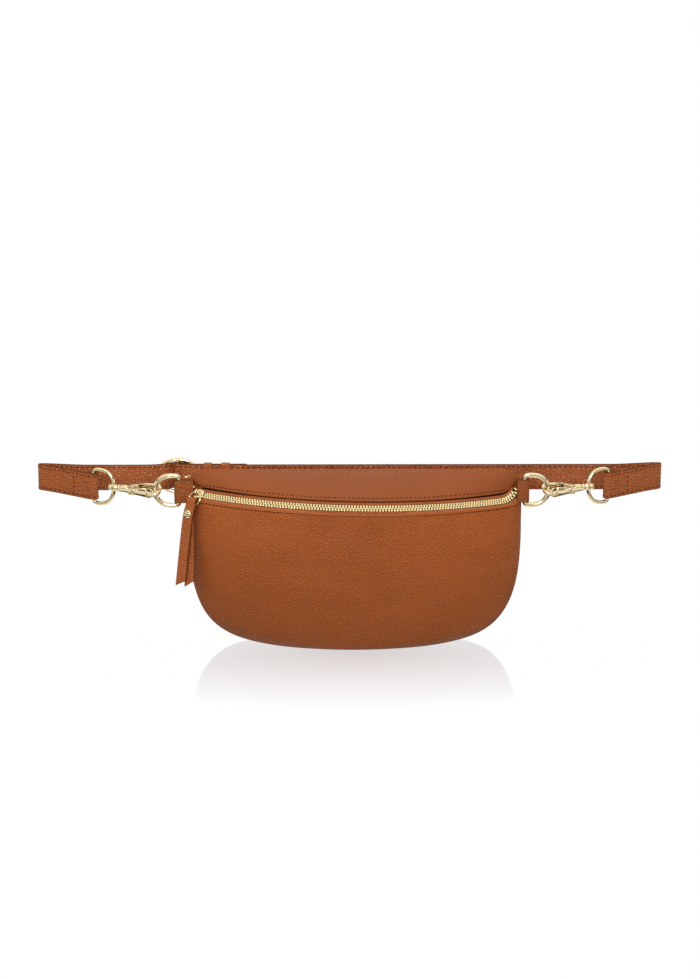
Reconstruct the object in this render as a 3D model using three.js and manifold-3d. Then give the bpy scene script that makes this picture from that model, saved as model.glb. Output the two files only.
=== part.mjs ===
// Half-moon waist pack of leather with metal fittings, in millimetres.
// +X is the wearer's left as seen from the front, +Y points back, +Z up.
// The origin is the centre of the flat base that the pack stands on.
import * as THREE from 'three';
import { mergeVertices } from 'three/addons/utils/BufferGeometryUtils.js';
import Module from 'manifold-3d';

const wasm = await Module();
wasm.setup();

// ---- driving dimensions -------------------------------------------------------------------
const GAP = 0.3;
const LEATHER = 2;

const BODY_HALF_WIDTH = 157;
const WIDEST_Z = 122;
const OUTLINE_REACH = 125;
const OUTLINE_FALL = 3.2;
const OUTLINE_FULLNESS = 0.19;
const BASE_HALF_WIDTH = 96;
const TOP_Z = 164;
const TOP_HALF_WIDTH = 138;
const CORNER_Z = 150;
const CORNER_HALF_WIDTH = 154;
const BACK_Y = 22;
const SEAM_Y = BACK_Y - LEATHER - GAP;
const PLAN_ROUNDNESS = 1.9;

const ZIP_RADIUS = 241;
const ZIP_AXIS_Y = 203;
const ZIP_Z = 139;
const ZIP_TILT = THREE.MathUtils.degToRad(1.1);
const ZIP_SLOPE = THREE.MathUtils.degToRad(50.7);
const ZIP_LEFT = -39;
const ZIP_RIGHT = 38.6;
const SLIDER_ANGLE = -37.3;
const TOOTH_INNER = 0.35;
const TOOTH_OUTER = 3.2;
const TOOTH_HALF_HEIGHT = 1.1;
const LIP_S = 6.3;
const LIP_N = 1;

const BELT_SHIFT = -3;
const RING_PLANE_Y = 14;
const RING_Z = 145.3;
const D_RING_BAR_X = 162.3;
const D_RING_WIRE = 2.3;
const D_RING_REACH = 22.4;
const D_RING_HALF_HEIGHT = 14.2;
const TAB_THICKNESS = 1.6;
const TAB_HEIGHT = 21.5;
const TAB_Z = 144.8;
const TAB_INNER_X = 157.4;

const HOOK_TURN = THREE.MathUtils.degToRad(20);
const HOOK_X = D_RING_BAR_X + D_RING_REACH;
const EYE_WIRE = 1.8;
const EYE_BAR_U = 62.4;
const EYE_WIDTH = 20.9;
const EYE_HALF_HEIGHT = 16.2;
const PIN_U = 21.5;
const PIN_V = -6;

const STRAP_WIDTH = 25;
const STRAP_THICKNESS = 1.8;
const FOLD_X = 299;
const RUN_Y = 66.6;
const PLY = STRAP_THICKNESS + GAP;
const BUCKLE_X = -166;
const BUCKLE_Y = 74;
const BUCKLE_RADIUS = 19;
const BUCKLE_WIRE = 2;
const BUCKLE_BAR = 1.5;

const LEATHER_COLOR = 0x96532e;
const EDGE_COLOR = 0x8a4a28;
const GOLD_COLOR = 0xd9bf85;
const TAPE_COLOR = 0x7a4526;
const LINING_COLOR = 0x8c7a66;

const leather = { color: LEATHER_COLOR, roughness: 0.6, metalness: 0 };
const edgeLeather = { color: EDGE_COLOR, roughness: 0.65, metalness: 0 };
const gold = { color: GOLD_COLOR, roughness: 0.22, metalness: 1 };
const tape = { color: TAPE_COLOR, roughness: 0.85, metalness: 0 };
const lining = { color: LINING_COLOR, roughness: 0.9, metalness: 0 };

const pack = new THREE.Group();

function add(name, geometry, look, parent = pack) {
  const mesh = new THREE.Mesh(geometry, new THREE.MeshStandardMaterial(look));
  mesh.name = name;
  parent.add(mesh);
  return mesh;
}

// ---- general shapes -----------------------------------------------------------------------
function signedVolume(positions, indices) {
  const corner = (i) => new THREE.Vector3().fromArray(positions, 3 * indices[i]);
  let volume = 0;
  for (let i = 0; i < indices.length; i += 3) {
    volume += corner(i).dot(corner(i + 1).cross(corner(i + 2)));
  }
  return volume;
}

function closedGeometry(positions, indices) {
  if (signedVolume(positions, indices) < 0) {
    indices.reverse();
  }
  const geometry = new THREE.BufferGeometry();
  geometry.setAttribute('position', new THREE.Float32BufferAttribute(positions, 3));
  geometry.setIndex(indices);
  return geometry;
}

// Skins a row of rings that all have the same number of points. An open row gets a cap at each
// end, made of strips between a ring's first half and its second half.
function loft(rings, closed = false) {
  const count = rings[0].length;
  const indices = [];
  const spans = closed ? rings.length : rings.length - 1;
  for (let i = 0; i < spans; i += 1) {
    const a = i * count;
    const b = ((i + 1) % rings.length) * count;
    for (let j = 0; j < count; j += 1) {
      const k = (j + 1) % count;
      indices.push(a + j, a + k, b + k, a + j, b + k, b + j);
    }
  }
  if (!closed) {
    const end = (rings.length - 1) * count;
    for (let j = 0; j < count / 2 - 1; j += 1) {
      const mate = count - 1 - j;
      indices.push(j, mate, mate - 1, j, mate - 1, j + 1);
      indices.push(end + j, end + mate - 1, end + mate, end + j, end + j + 1, end + mate - 1);
    }
  }
  const positions = rings.flat().flatMap((point) => [point.x, point.y, point.z]);
  return closedGeometry(positions, indices);
}

function sheetNormals(grid) {
  return grid.map((row, i) => row.map((point, j) => {
    const along = row[Math.min(j + 1, row.length - 1)].clone().sub(row[Math.max(j - 1, 0)]);
    const below = grid[Math.max(i - 1, 0)][j];
    const above = grid[Math.min(i + 1, grid.length - 1)][j];
    return along.cross(above.clone().sub(below)).normalize();
  }));
}

// Moves a sheet inwards. No sheet passes the seam with the back panel.
function offsetSheet(grid, distance) {
  const normals = sheetNormals(grid);
  return grid.map((row, i) => row.map((point, j) => {
    const moved = point.clone().addScaledVector(normals[i][j], -distance);
    moved.y = Math.min(moved.y, SEAM_Y);
    return moved;
  }));
}

function thickSheet(grid, thickness) {
  const inside = offsetSheet(grid, thickness);
  return loft(grid.map((row, i) => [...row, ...[...inside[i]].reverse()]));
}

// The outline of a strip of even thickness along a line of [x, y] points.
function thickPath(points, thickness) {
  const sides = [[], []];
  points.forEach(([x, y], i) => {
    const before = points[Math.max(i - 1, 0)];
    const after = points[Math.min(i + 1, points.length - 1)];
    const length = Math.hypot(after[0] - before[0], after[1] - before[1]);
    const nx = -(after[1] - before[1]) / length;
    const ny = (after[0] - before[0]) / length;
    sides[0].push([x + nx * thickness / 2, y + ny * thickness / 2]);
    sides[1].unshift([x - nx * thickness / 2, y - ny * thickness / 2]);
  });
  return [...sides[0], ...sides[1]];
}

function smoothPath(points, divisions) {
  const curve = new THREE.CatmullRomCurve3(
    points.map(([x, y]) => new THREE.Vector3(x, y, 0)), false, 'centripetal');
  return curve.getPoints(divisions).map((point) => [point.x, point.y]);
}

// A plate whose outline lies in plan, from z0 to z1.
function planPlate(outline, z0, z1) {
  const shape = new THREE.Shape(outline.map(([x, y]) => new THREE.Vector2(x, y)));
  const geometry = new THREE.ExtrudeGeometry(shape, { depth: z1 - z0, bevelEnabled: false });
  geometry.translate(0, 0, z0);
  return geometry;
}

// A plate whose outline lies in the upright XZ plane, from y0 to y1.
function uprightPlate(outline, y0, y1) {
  const geometry = planPlate(outline, 0, y1 - y0);
  geometry.rotateX(Math.PI / 2);
  geometry.translate(0, y1, 0);
  return geometry;
}

function box(x0, x1, y0, y1, z0, z1) {
  return planPlate([[x0, y0], [x1, y0], [x1, y1], [x0, y1]], z0, z1);
}

function mirrorX(geometry) {
  const mirrored = geometry.clone();
  mirrored.deleteAttribute('normal');
  mirrored.deleteAttribute('uv');
  const merged = mergeVertices(mirrored, 1e-4);
  merged.scale(-1, 1, 1);
  const indices = [...merged.index.array].reverse();
  merged.setIndex(indices);
  return merged;
}

// A round wire along a closed flat loop of [x, z] points in the upright plane y = 0.
function wireLoop(points, radius, sides) {
  const rings = points.map(([x, z], i) => {
    const before = points[(i + points.length - 1) % points.length];
    const after = points[(i + 1) % points.length];
    const length = Math.hypot(after[0] - before[0], after[1] - before[1]);
    const outX = (after[1] - before[1]) / length;
    const outZ = -(after[0] - before[0]) / length;
    return Array.from({ length: sides }, (_, k) => {
      const turn = (2 * Math.PI * k) / sides;
      return new THREE.Vector3(
        x + radius * Math.cos(turn) * outX, radius * Math.sin(turn), z + radius * Math.cos(turn) * outZ);
    });
  });
  return loft(rings, true);
}

// The centre line of a D: a straight bar at x = 0 and a bow that reaches x = width.
function dOutline(width, halfHeight, divisions) {
  const bow = [
    [0, 0], [0, 0.79], [0.05, 0.94], [0.3, 1], [0.66, 0.88], [0.9, 0.52],
    [1, 0], [0.9, -0.52], [0.66, -0.88], [0.3, -1], [0.05, -0.94], [0, -0.79],
  ];
  const curve = new THREE.CatmullRomCurve3(
    bow.map(([x, z]) => new THREE.Vector3(x * width, 0, z * halfHeight)), true, 'centripetal');
  return curve.getPoints(divisions).slice(0, divisions).map((point) => [point.x, point.z]);
}

function toSolid(geometry) {
  const bare = geometry.clone();
  bare.deleteAttribute('normal');
  bare.deleteAttribute('uv');
  const merged = mergeVertices(bare, 1e-4);
  return new wasm.Manifold(new wasm.Mesh({
    numProp: 3,
    vertProperties: new Float32Array(merged.attributes.position.array),
    triVerts: new Uint32Array(merged.index.array),
  }));
}

function toGeometry(solid) {
  const mesh = solid.getMesh();
  const geometry = new THREE.BufferGeometry();
  geometry.setAttribute('position', new THREE.Float32BufferAttribute(mesh.vertProperties, 3));
  geometry.setIndex([...mesh.triVerts]);
  return geometry;
}

function join(first, ...others) {
  return toGeometry(others.reduce((sum, other) => sum.add(toSolid(other)), toSolid(first)));
}

function cut(first, ...others) {
  return toGeometry(others.reduce((rest, other) => rest.subtract(toSolid(other)), toSolid(first)));
}

function upright(radius, z0, z1, x, y, sides = 16) {
  const geometry = new THREE.CylinderGeometry(radius, radius, z1 - z0, sides);
  geometry.rotateX(Math.PI / 2);
  geometry.translate(x, y, (z0 + z1) / 2);
  return geometry;
}

// ---- the shell ----------------------------------------------------------------------------
function halfWidth(z) {
  const fall = Math.max(0, WIDEST_Z - z) / OUTLINE_REACH;
  return BODY_HALF_WIDTH * (1 - fall ** OUTLINE_FALL) ** OUTLINE_FULLNESS;
}

// Band coordinates: s runs down the slope of the zip, n stands out from it.
function bandSection(s, n) {
  const r = ZIP_RADIUS + s * Math.cos(ZIP_SLOPE) + n * Math.sin(ZIP_SLOPE);
  const h = -s * Math.sin(ZIP_SLOPE) + n * Math.cos(ZIP_SLOPE);
  return [r, h];
}

function zipPoint(angle, [r, h]) {
  const x = r * Math.sin(angle);
  return new THREE.Vector3(
    x * Math.cos(ZIP_TILT) + h * Math.sin(ZIP_TILT),
    ZIP_AXIS_Y - r * Math.cos(angle),
    ZIP_Z - x * Math.sin(ZIP_TILT) + h * Math.cos(ZIP_TILT));
}

function zipBand(section, fromDegrees, toDegrees, steps) {
  const rings = [];
  for (let i = 0; i <= steps; i += 1) {
    const degrees = THREE.MathUtils.lerp(fromDegrees, toDegrees, i / steps);
    rings.push(section.map((corner) => zipPoint(THREE.MathUtils.degToRad(degrees), corner)));
  }
  return loft(rings);
}

function bandBox(s0, s1, n0, n1) {
  return [bandSection(s0, n0), bandSection(s1, n0), bandSection(s1, n1), bandSection(s0, n1)];
}

const FRONT_PROFILE = [
  [-21, 0], [-26, 5], [-33, 18], [-40, 38], [-45, 62], [-47, 88], [-46, 112], [-42, 134.1],
];
const BASE_ROWS = [0.02, 0.4, 0.8];
const LIP_BLEND_Z = 98;
const LINING_TOP_Z = 116;

function frontRows(count) {
  const rows = BASE_ROWS.map((f) => ({
    z: 0, y: SEAM_Y - (SEAM_Y - FRONT_PROFILE[0][0]) * f, w: BASE_HALF_WIDTH * f,
  }));
  smoothPath(FRONT_PROFILE, count).forEach(([y, z]) => {
    const level = Math.max(z, 0);
    rows.push({ z: level, y, w: halfWidth(level) });
  });
  return rows;
}

function frontGrid(rowCount, columnCount, topZ) {
  const lip = bandSection(LIP_S, LIP_N);
  const power = 2 / PLAN_ROUNDNESS;
  return frontRows(rowCount).filter(({ z }) => z <= topZ).map(({ z, y, w }) => {
    const blend = THREE.MathUtils.smoothstep(z, LIP_BLEND_Z, FRONT_PROFILE.at(-1)[1]);
    return Array.from({ length: columnCount + 1 }, (_, j) => {
      const turn = Math.PI * (j / columnCount - 0.5);
      const x = w * Math.sign(turn) * Math.abs(Math.sin(turn)) ** power;
      const depth = (SEAM_Y - y) * Math.abs(Math.cos(turn)) ** power;
      const belly = new THREE.Vector3(x, SEAM_Y - depth, z);
      const angle = Math.asin((x * 0.987) / lip[0]);
      return belly.lerp(zipPoint(angle, lip), blend);
    });
  });
}

function backOutline(inset, bottom) {
  const side = [];
  for (let i = 0; i <= 14; i += 1) {
    const z = bottom + (WIDEST_Z + 12 - bottom) * (i / 14) ** 1.6;
    side.push([halfWidth(Math.max(z, 0)) - inset, z]);
  }
  for (let i = 0; i <= 6; i += 1) {
    const turn = (Math.PI / 2) * (1 - i / 6);
    side.push([
      TOP_HALF_WIDTH + (CORNER_HALF_WIDTH - TOP_HALF_WIDTH) * Math.sin(turn) - inset,
      CORNER_Z + (TOP_Z - CORNER_Z) * Math.cos(turn) - inset,
    ]);
  }
  const mirrored = [...side].reverse().map(([x, z]) => [-x, z]);
  return [...side, ...mirrored];
}

add('front_panel', thickSheet(frontGrid(11, 36, TOP_Z), LEATHER), leather);
add('front_lining', thickSheet(offsetSheet(frontGrid(9, 24, LINING_TOP_Z), LEATHER + 1.4), 0.8), lining);
add('back_panel', uprightPlate(backOutline(0, 0), BACK_Y - LEATHER, BACK_Y), leather);
add('back_lining', uprightPlate(backOutline(9, 18), SEAM_Y - 1.1, SEAM_Y - 0.3), lining);
add('slip_pocket', box(-85, 85, SEAM_Y - 2.4, SEAM_Y - 1.5, 30, 110), lining);

// Top panel: from the straight back edge down to the arc of the zip, slightly crowned.
const TOP_COLUMNS = 26;
const TOP_ROWS = 4;
const TOP_CROWN = 3;
const TOP_REACH = THREE.MathUtils.degToRad(36.8);
const STRAIGHT_SHARE = 0.8;
const CORNER_REACH = THREE.MathUtils.degToRad(75);

function topBackPoint(u) {
  const reach = Math.abs(u);
  const turn = Math.max(0, (reach - STRAIGHT_SHARE) / (1 - STRAIGHT_SHARE)) * CORNER_REACH;
  const straight = TOP_HALF_WIDTH * Math.min(1, reach / STRAIGHT_SHARE);
  const corner = (CORNER_HALF_WIDTH - TOP_HALF_WIDTH) * Math.sin(turn);
  const z = CORNER_Z + (TOP_Z - CORNER_Z) * Math.cos(turn);
  return new THREE.Vector3(Math.sign(u) * (straight + corner), SEAM_Y, z);
}

function topGrid() {
  const edge = bandSection(-7.2, 4.4);
  return Array.from({ length: TOP_ROWS + 1 }, (_, i) => (
    Array.from({ length: TOP_COLUMNS + 1 }, (__, j) => {
      const u = (2 * j) / TOP_COLUMNS - 1;
      const share = i / TOP_ROWS;
      const point = zipPoint(TOP_REACH * u, edge).lerp(topBackPoint(u), share);
      point.z += TOP_CROWN * 4 * share * (1 - share) * (1 - Math.abs(u) ** 4);
      return point;
    })));
}

add('top_panel', thickSheet(topGrid(), LEATHER), leather);

// ---- the zip ------------------------------------------------------------------------------
const ZIP_STEPS = 32;
const TAPE_END = 35.5;
const upperTeeth = bandBox(-TOOTH_OUTER, -TOOTH_INNER, -TOOTH_HALF_HEIGHT, TOOTH_HALF_HEIGHT);
const lowerTeeth = bandBox(TOOTH_INNER, TOOTH_OUTER, -TOOTH_HALF_HEIGHT, TOOTH_HALF_HEIGHT);
const lowerTapePath = [[244, -3.85], [242.9, -3.95], [242, -5], [241.9, -8], [241.9, -16]];

add('upper_zip_teeth', zipBand(upperTeeth, ZIP_LEFT, ZIP_RIGHT, ZIP_STEPS), gold);
add('lower_zip_teeth', zipBand(lowerTeeth, ZIP_LEFT, ZIP_RIGHT, ZIP_STEPS), gold);
add('upper_zip_tape', zipBand(bandBox(-9.5, -3.5, -0.6, 0.2), -TAPE_END, TAPE_END, ZIP_STEPS), tape);
add('upper_zip_facing', zipBand(bandBox(-8, -5.2, 0.5, 1.5), -TAPE_END, TAPE_END, ZIP_STEPS), edgeLeather);
add('lower_zip_tape', zipBand(thickPath(lowerTapePath, 0.7), -TAPE_END - 2, TAPE_END + 2, ZIP_STEPS), tape);

const stopSection = bandBox(-2.6, 2.6, -TOOTH_HALF_HEIGHT, TOOTH_HALF_HEIGHT);
add('left_zip_stop', zipBand(stopSection, ZIP_LEFT - 0.6, ZIP_LEFT - 0.15, 1), gold);
add('right_zip_stop', zipBand(stopSection, ZIP_RIGHT + 0.15, ZIP_RIGHT + 0.6, 1), gold);

// The slider and its pull are drawn at the front centre of the zip, as [across, -r, h] about the
// zip's axis, and then turned along the zip to where the slider rests.
const zipFrame = new THREE.Group();
zipFrame.position.set(0, ZIP_AXIS_Y, ZIP_Z);
zipFrame.rotation.y = ZIP_TILT;
const sliderFrame = new THREE.Group();
sliderFrame.rotation.z = THREE.MathUtils.degToRad(SLIDER_ANGLE);
zipFrame.add(sliderFrame);
pack.add(zipFrame);

// A plate whose outline is in [r, h], drawn from one side of the slider to the other.
function acrossPlate(outline, halfLength) {
  const geometry = planPlate(outline.map(([r, h]) => [-r, h]), -halfLength, halfLength);
  geometry.applyMatrix4(new THREE.Matrix4().set(
    0, 0, 1, 0,
    1, 0, 0, 0,
    0, 1, 0, 0,
    0, 0, 0, 1));
  return geometry;
}

const SLIDER_HALF_LENGTH = 6;
const SLIDER_TOP = 2.6;
const PULL_PIVOT_N = 5.2;
const BAIL_HALF_SPAN = 2.7;
const BAIL_WIRE = 0.8;
const BAIL_CREST = PULL_PIVOT_N + 2;

const sliderPlates = [
  [-4.6, 1.4], [-4.6, SLIDER_TOP], [4.6, SLIDER_TOP], [4.6, 1.4], [0.2, 1.4], [0.2, -1.4],
  [3, -1.4], [3, -2.1], [-3, -2.1], [-3, -1.4], [-0.2, -1.4], [-0.2, 1.4],
].map(([s, n]) => bandSection(s, n));
const bailPath = [
  [-BAIL_HALF_SPAN, SLIDER_TOP - 0.5], [-BAIL_HALF_SPAN, SLIDER_TOP + 2],
  [-1.6, BAIL_CREST - 0.4], [0, BAIL_CREST], [1.6, BAIL_CREST - 0.4],
  [BAIL_HALF_SPAN, SLIDER_TOP + 2], [BAIL_HALF_SPAN, SLIDER_TOP - 0.5],
];
const bailOutline = thickPath(smoothPath(bailPath, 14), 2 * BAIL_WIRE)
  .map(([s, n]) => bandSection(s, n));
add('zip_slider', join(
  acrossPlate(sliderPlates, SLIDER_HALF_LENGTH),
  acrossPlate(bailOutline, 1.1)), gold, sliderFrame);

const PULL_RING_RADIUS = 6.6;
const PULL_RING_WIRE = 0.9;
const RING_HANG = THREE.MathUtils.degToRad(28);
const [PIVOT_R, PIVOT_H] = bandSection(0, PULL_PIVOT_N);
const ringBottomR = PIVOT_R + 2 * PULL_RING_RADIUS * Math.sin(RING_HANG);
const ringBottomH = PIVOT_H - 2 * PULL_RING_RADIUS * Math.cos(RING_HANG);

function ringWire(radius) {
  const ring = new THREE.TorusGeometry(PULL_RING_RADIUS, radius, 8, 28);
  ring.rotateX(Math.PI / 2 - RING_HANG);
  ring.translate(0, -(PIVOT_R + ringBottomR) / 2, (PIVOT_H + ringBottomH) / 2);
  return ring;
}

add('pull_ring', ringWire(PULL_RING_WIRE), gold, sliderFrame);

// The pull is one strip of leather folded through the ring and riveted; its rear leg splays.
const PULL_WIDTH = 11.5;
const PULL_THICKNESS = 1.5;
const PULL_LENGTH = 87;
const PULL_STAND_OFF = 2.4;
const PULL_LEAN = Math.tan(THREE.MathUtils.degToRad(9));
const PULL_SPLAY = THREE.MathUtils.degToRad(8);
const FOLD_TOP = ringBottomH + 7.4;
const RIVET_DROP = 15;
const LEG_OFFSET = PULL_THICKNESS / 2 + 0.15;
const rivetH = FOLD_TOP - RIVET_DROP;

function legR(h) {
  return ringBottomR + PULL_STAND_OFF + (ringBottomH - h) * PULL_LEAN;
}

const pullFold = smoothPath([
  [legR(rivetH - 5) - LEG_OFFSET, rivetH - 5],
  [legR(rivetH) - LEG_OFFSET, rivetH],
  [legR(ringBottomH - 2) - 2.1, ringBottomH - 2],
  [ringBottomR - 2.6, ringBottomH + 2],
  [ringBottomR - 2.8, FOLD_TOP - 2.2],
  [ringBottomR - 0.4, FOLD_TOP - PULL_THICKNESS / 2],
  [ringBottomR + 1.5, FOLD_TOP - 1.8],
  [ringBottomR + 2.1, ringBottomH + 1],
  [legR(rivetH) + LEG_OFFSET, rivetH],
  [legR(FOLD_TOP - PULL_LENGTH / 2) + LEG_OFFSET, FOLD_TOP - PULL_LENGTH / 2],
  [legR(FOLD_TOP - PULL_LENGTH) + LEG_OFFSET, FOLD_TOP - PULL_LENGTH],
], 26);
const rearLegH = [rivetH + 2, FOLD_TOP - PULL_LENGTH];
const rearLeg = acrossPlate(
  thickPath(rearLegH.map((h) => [legR(h) - LEG_OFFSET, h]), PULL_THICKNESS), PULL_WIDTH / 2);
rearLeg.translate(0, legR(rivetH), -rivetH);
rearLeg.rotateX(Math.atan(PULL_LEAN));
rearLeg.rotateY(-PULL_SPLAY);
rearLeg.rotateX(-Math.atan(PULL_LEAN));
rearLeg.translate(0, -legR(rivetH), rivetH);

const RIVET_HOLE = 1.9;
const RIVET_POST = 1.5;

function alongRivet(geometry) {
  geometry.rotateX(-Math.atan(PULL_LEAN));
  geometry.translate(0, -legR(rivetH), rivetH);
  return geometry;
}

const rivetHole = alongRivet(new THREE.CylinderGeometry(RIVET_HOLE, RIVET_HOLE, 12, 16));
add('pull_strap', cut(
  join(acrossPlate(thickPath(pullFold, PULL_THICKNESS), PULL_WIDTH / 2), rearLeg),
  rivetHole, ringWire(PULL_RING_WIRE + GAP)), leather, sliderFrame);

const postFront = -PULL_THICKNESS - 0.15;
const postRear = PULL_THICKNESS + 1.3;
const rivetPost = new THREE.CylinderGeometry(RIVET_POST, RIVET_POST, postRear - postFront, 16);
rivetPost.translate(0, (postFront + postRear) / 2, 0);
const rivetFoot = new THREE.CylinderGeometry(3, 3, 0.8, 20);
rivetFoot.translate(0, postRear, 0);
const capProfile = [[0, 0], [4, 0], [3.8, 0.7], [2.8, 1.5], [1.4, 1.9], [0, 2]];
const rivetCap = new THREE.LatheGeometry(
  capProfile.map(([radius, height]) => new THREE.Vector2(radius, height)), 24);
rivetCap.rotateX(Math.PI);
rivetCap.translate(0, postFront - GAP, 0);
add('pull_rivet_post', alongRivet(join(rivetPost, rivetFoot)), gold, sliderFrame);
add('pull_rivet_cap', alongRivet(rivetCap), gold, sliderFrame);

// ---- side tabs and D-rings ----------------------------------------------------------------
// The belt and its fittings are centred a little to the left of the pack.
const beltFrame = new THREE.Group();
beltFrame.position.x = BELT_SHIFT;
pack.add(beltFrame);

const tabBend = D_RING_WIRE + GAP + TAB_THICKNESS / 2;

// A strip round the ring's bar; both ends reach in to the edge of the pack.
function sideTab(innerX) {
  const path = [[innerX, -tabBend]];
  for (let i = 0; i <= 10; i += 1) {
    const turn = Math.PI * (i / 10 - 0.5);
    path.push([D_RING_BAR_X + tabBend * Math.cos(turn), tabBend * Math.sin(turn)]);
  }
  path.push([innerX, tabBend]);
  const tab = planPlate(
    thickPath(path, TAB_THICKNESS), TAB_Z - TAB_HEIGHT / 2, TAB_Z + TAB_HEIGHT / 2);
  tab.translate(0, RING_PLANE_Y, 0);
  return tab;
}

const rightRing = wireLoop(dOutline(D_RING_REACH, D_RING_HALF_HEIGHT, 36), D_RING_WIRE, 8);
rightRing.translate(D_RING_BAR_X, RING_PLANE_Y, RING_Z);
add('right_tab', sideTab(TAB_INNER_X - BELT_SHIFT), leather, beltFrame);
add('left_tab', mirrorX(sideTab(TAB_INNER_X + BELT_SHIFT)), leather, beltFrame);
add('right_d_ring', rightRing, gold, beltFrame);
add('left_d_ring', mirrorX(rightRing), gold, beltFrame);

// ---- swivel trigger hooks -----------------------------------------------------------------
// Drawn about the D-ring's wire, with x along the hook away from the bag and z up.
const SLOT_HALF = 4.6;
const ARM = 2.6;
const NOSE_INNER = -3.4;
const NOSE = 3;
const ARM_HALF_HEIGHT = 3;
const BLOCK_HALF_HEIGHT = 4.2;
const BARREL_END = 34.6;
const NOTCH_U = 5.2;

function hookOutline() {
  const outer = SLOT_HALF + ARM;
  const nose = [];
  const noseInside = [];
  for (let i = 0; i <= 8; i += 1) {
    const turn = Math.PI * (0.5 + i / 8);
    nose.push([NOSE_INNER - NOSE + outer + outer * Math.cos(turn), outer * Math.sin(turn)]);
    noseInside.unshift([
      NOSE_INNER + SLOT_HALF + SLOT_HALF * Math.cos(turn), SLOT_HALF * Math.sin(turn)]);
  }
  return [[18, outer - 0.6], ...nose, [NOTCH_U, -outer], [NOTCH_U, -SLOT_HALF], ...noseInside,
    [18, SLOT_HALF]];
}

function hookBody() {
  const arms = planPlate(hookOutline(), -ARM_HALF_HEIGHT, ARM_HALF_HEIGHT);
  const block = planPlate(
    [[17, -2], [21, -4.3], [25.5, -4.3], [25.5, 5.5], [23, 6.6], [17, 6.6]], -BLOCK_HALF_HEIGHT, BLOCK_HALF_HEIGHT);
  const barrel = new THREE.CylinderGeometry(3.8, 3.8, BARREL_END - 24, 16);
  barrel.rotateZ(Math.PI / 2);
  barrel.translate((BARREL_END + 24) / 2, 0, 0);
  const lugs = [-1, 1].map((side) => {
    const lug = planPlate([[18.6, -7.4], [24.4, -7.4], [24.4, -4], [18.6, -4]], 2.9, BLOCK_HALF_HEIGHT);
    return side > 0 ? lug : lug.translate(0, 0, -BLOCK_HALF_HEIGHT - 2.9);
  });
  const bore = new THREE.CylinderGeometry(1.75, 1.75, 12, 12);
  bore.rotateZ(Math.PI / 2);
  bore.translate(BARREL_END - 4, 0, 0);
  return cut(join(arms, block, barrel, ...lugs), bore, upright(0.9, -6, 6, PIN_U, PIN_V, 12));
}

function gate() {
  const face = uprightPlate(
    [[NOTCH_U + 0.4, -2.6], [24, -2.6], [24, 1.2], [18, 1.2], [18, 2.6], [NOTCH_U + 0.4, 2.6]],
    PIN_V - 1.3, PIN_V + 1.2);
  return cut(face, upright(0.9, -6, 6, PIN_U, PIN_V, 12));
}

function gateSpring() {
  const profile = [[0.95, 1.5], [1.7, 1.5], [1.7, 2.6], [0.95, 2.6], [0.95, 1.5]];
  const coil = new THREE.LatheGeometry(
    profile.map(([radius, height]) => new THREE.Vector2(radius, height)), 16);
  coil.rotateX(Math.PI / 2);
  coil.translate(PIN_U, PIN_V, 0);
  return coil;
}

function swivelEye() {
  const loop = wireLoop(dOutline(-EYE_WIDTH, EYE_HALF_HEIGHT, 36), EYE_WIRE, 8);
  loop.translate(EYE_BAR_U, 0, 0);
  const boss = new THREE.CylinderGeometry(3, 3.4, 7, 16);
  boss.rotateZ(-Math.PI / 2);
  boss.translate(BARREL_END + GAP + 3.5, 0, 0);
  const stud = new THREE.CylinderGeometry(1.4, 1.4, 8, 12);
  stud.rotateZ(Math.PI / 2);
  stud.translate(BARREL_END - 2.6, 0, 0);
  return join(loop, boss, stud);
}

const hookPieces = {
  hook: hookBody(),
  gate: gate(),
  gate_pin: upright(0.6, -BLOCK_HALF_HEIGHT, BLOCK_HALF_HEIGHT, PIN_U, PIN_V, 12),
  gate_spring: gateSpring(),
  swivel_eye: swivelEye(),
};
Object.entries(hookPieces).forEach(([name, geometry]) => {
  const placed = geometry.clone();
  placed.rotateZ(HOOK_TURN);
  placed.translate(HOOK_X, RING_PLANE_Y, RING_Z);
  add(`right_${name}`, placed, gold, beltFrame);
  add(`left_${name}`, mirrorX(placed), gold, beltFrame);
});

// ---- belt ---------------------------------------------------------------------------------
const STRAP_Z = [RING_Z - STRAP_WIDTH / 2, RING_Z + STRAP_WIDTH / 2];
const eyeBar = [
  HOOK_X + EYE_BAR_U * Math.cos(HOOK_TURN), RING_PLANE_Y + EYE_BAR_U * Math.sin(HOOK_TURN)];
const RUN_SLOPE = THREE.MathUtils.degToRad(26.5);

// A point beside the front run: so far along it from the eye's bar, so far out towards the back.
function besideRun(along, out) {
  return [
    eyeBar[0] + along * Math.cos(RUN_SLOPE) - out * Math.sin(RUN_SLOPE),
    eyeBar[1] + along * Math.sin(RUN_SLOPE) + out * Math.cos(RUN_SLOPE),
  ];
}

// From the sewn end, round the eye's bar, along the front run and round the fold at the side.
function strapEnd() {
  const bend = EYE_WIRE + 2 * GAP + STRAP_THICKNESS / 2;
  const turns = [0.35, 0.2, 0, -0.2, -0.35].map((share) => {
    const angle = Math.PI + share * Math.PI;
    return besideRun(bend * Math.cos(angle), -bend * Math.sin(angle));
  });
  return smoothPath([
    besideRun(17, PLY / 2), besideRun(9, 1.6), besideRun(3.5, 2.9), ...turns,
    besideRun(3.5, -2.9), besideRun(9, -1.6), besideRun(17, -PLY / 2), besideRun(34, -PLY / 2),
    [FOLD_X - 7, RUN_Y - 8.4], [FOLD_X - 1.6, RUN_Y - 4.4], [FOLD_X - 1.2, RUN_Y - 1.2],
    [FOLD_X - 6, RUN_Y], [FOLD_X - 16, RUN_Y],
  ], 60);
}

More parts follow.
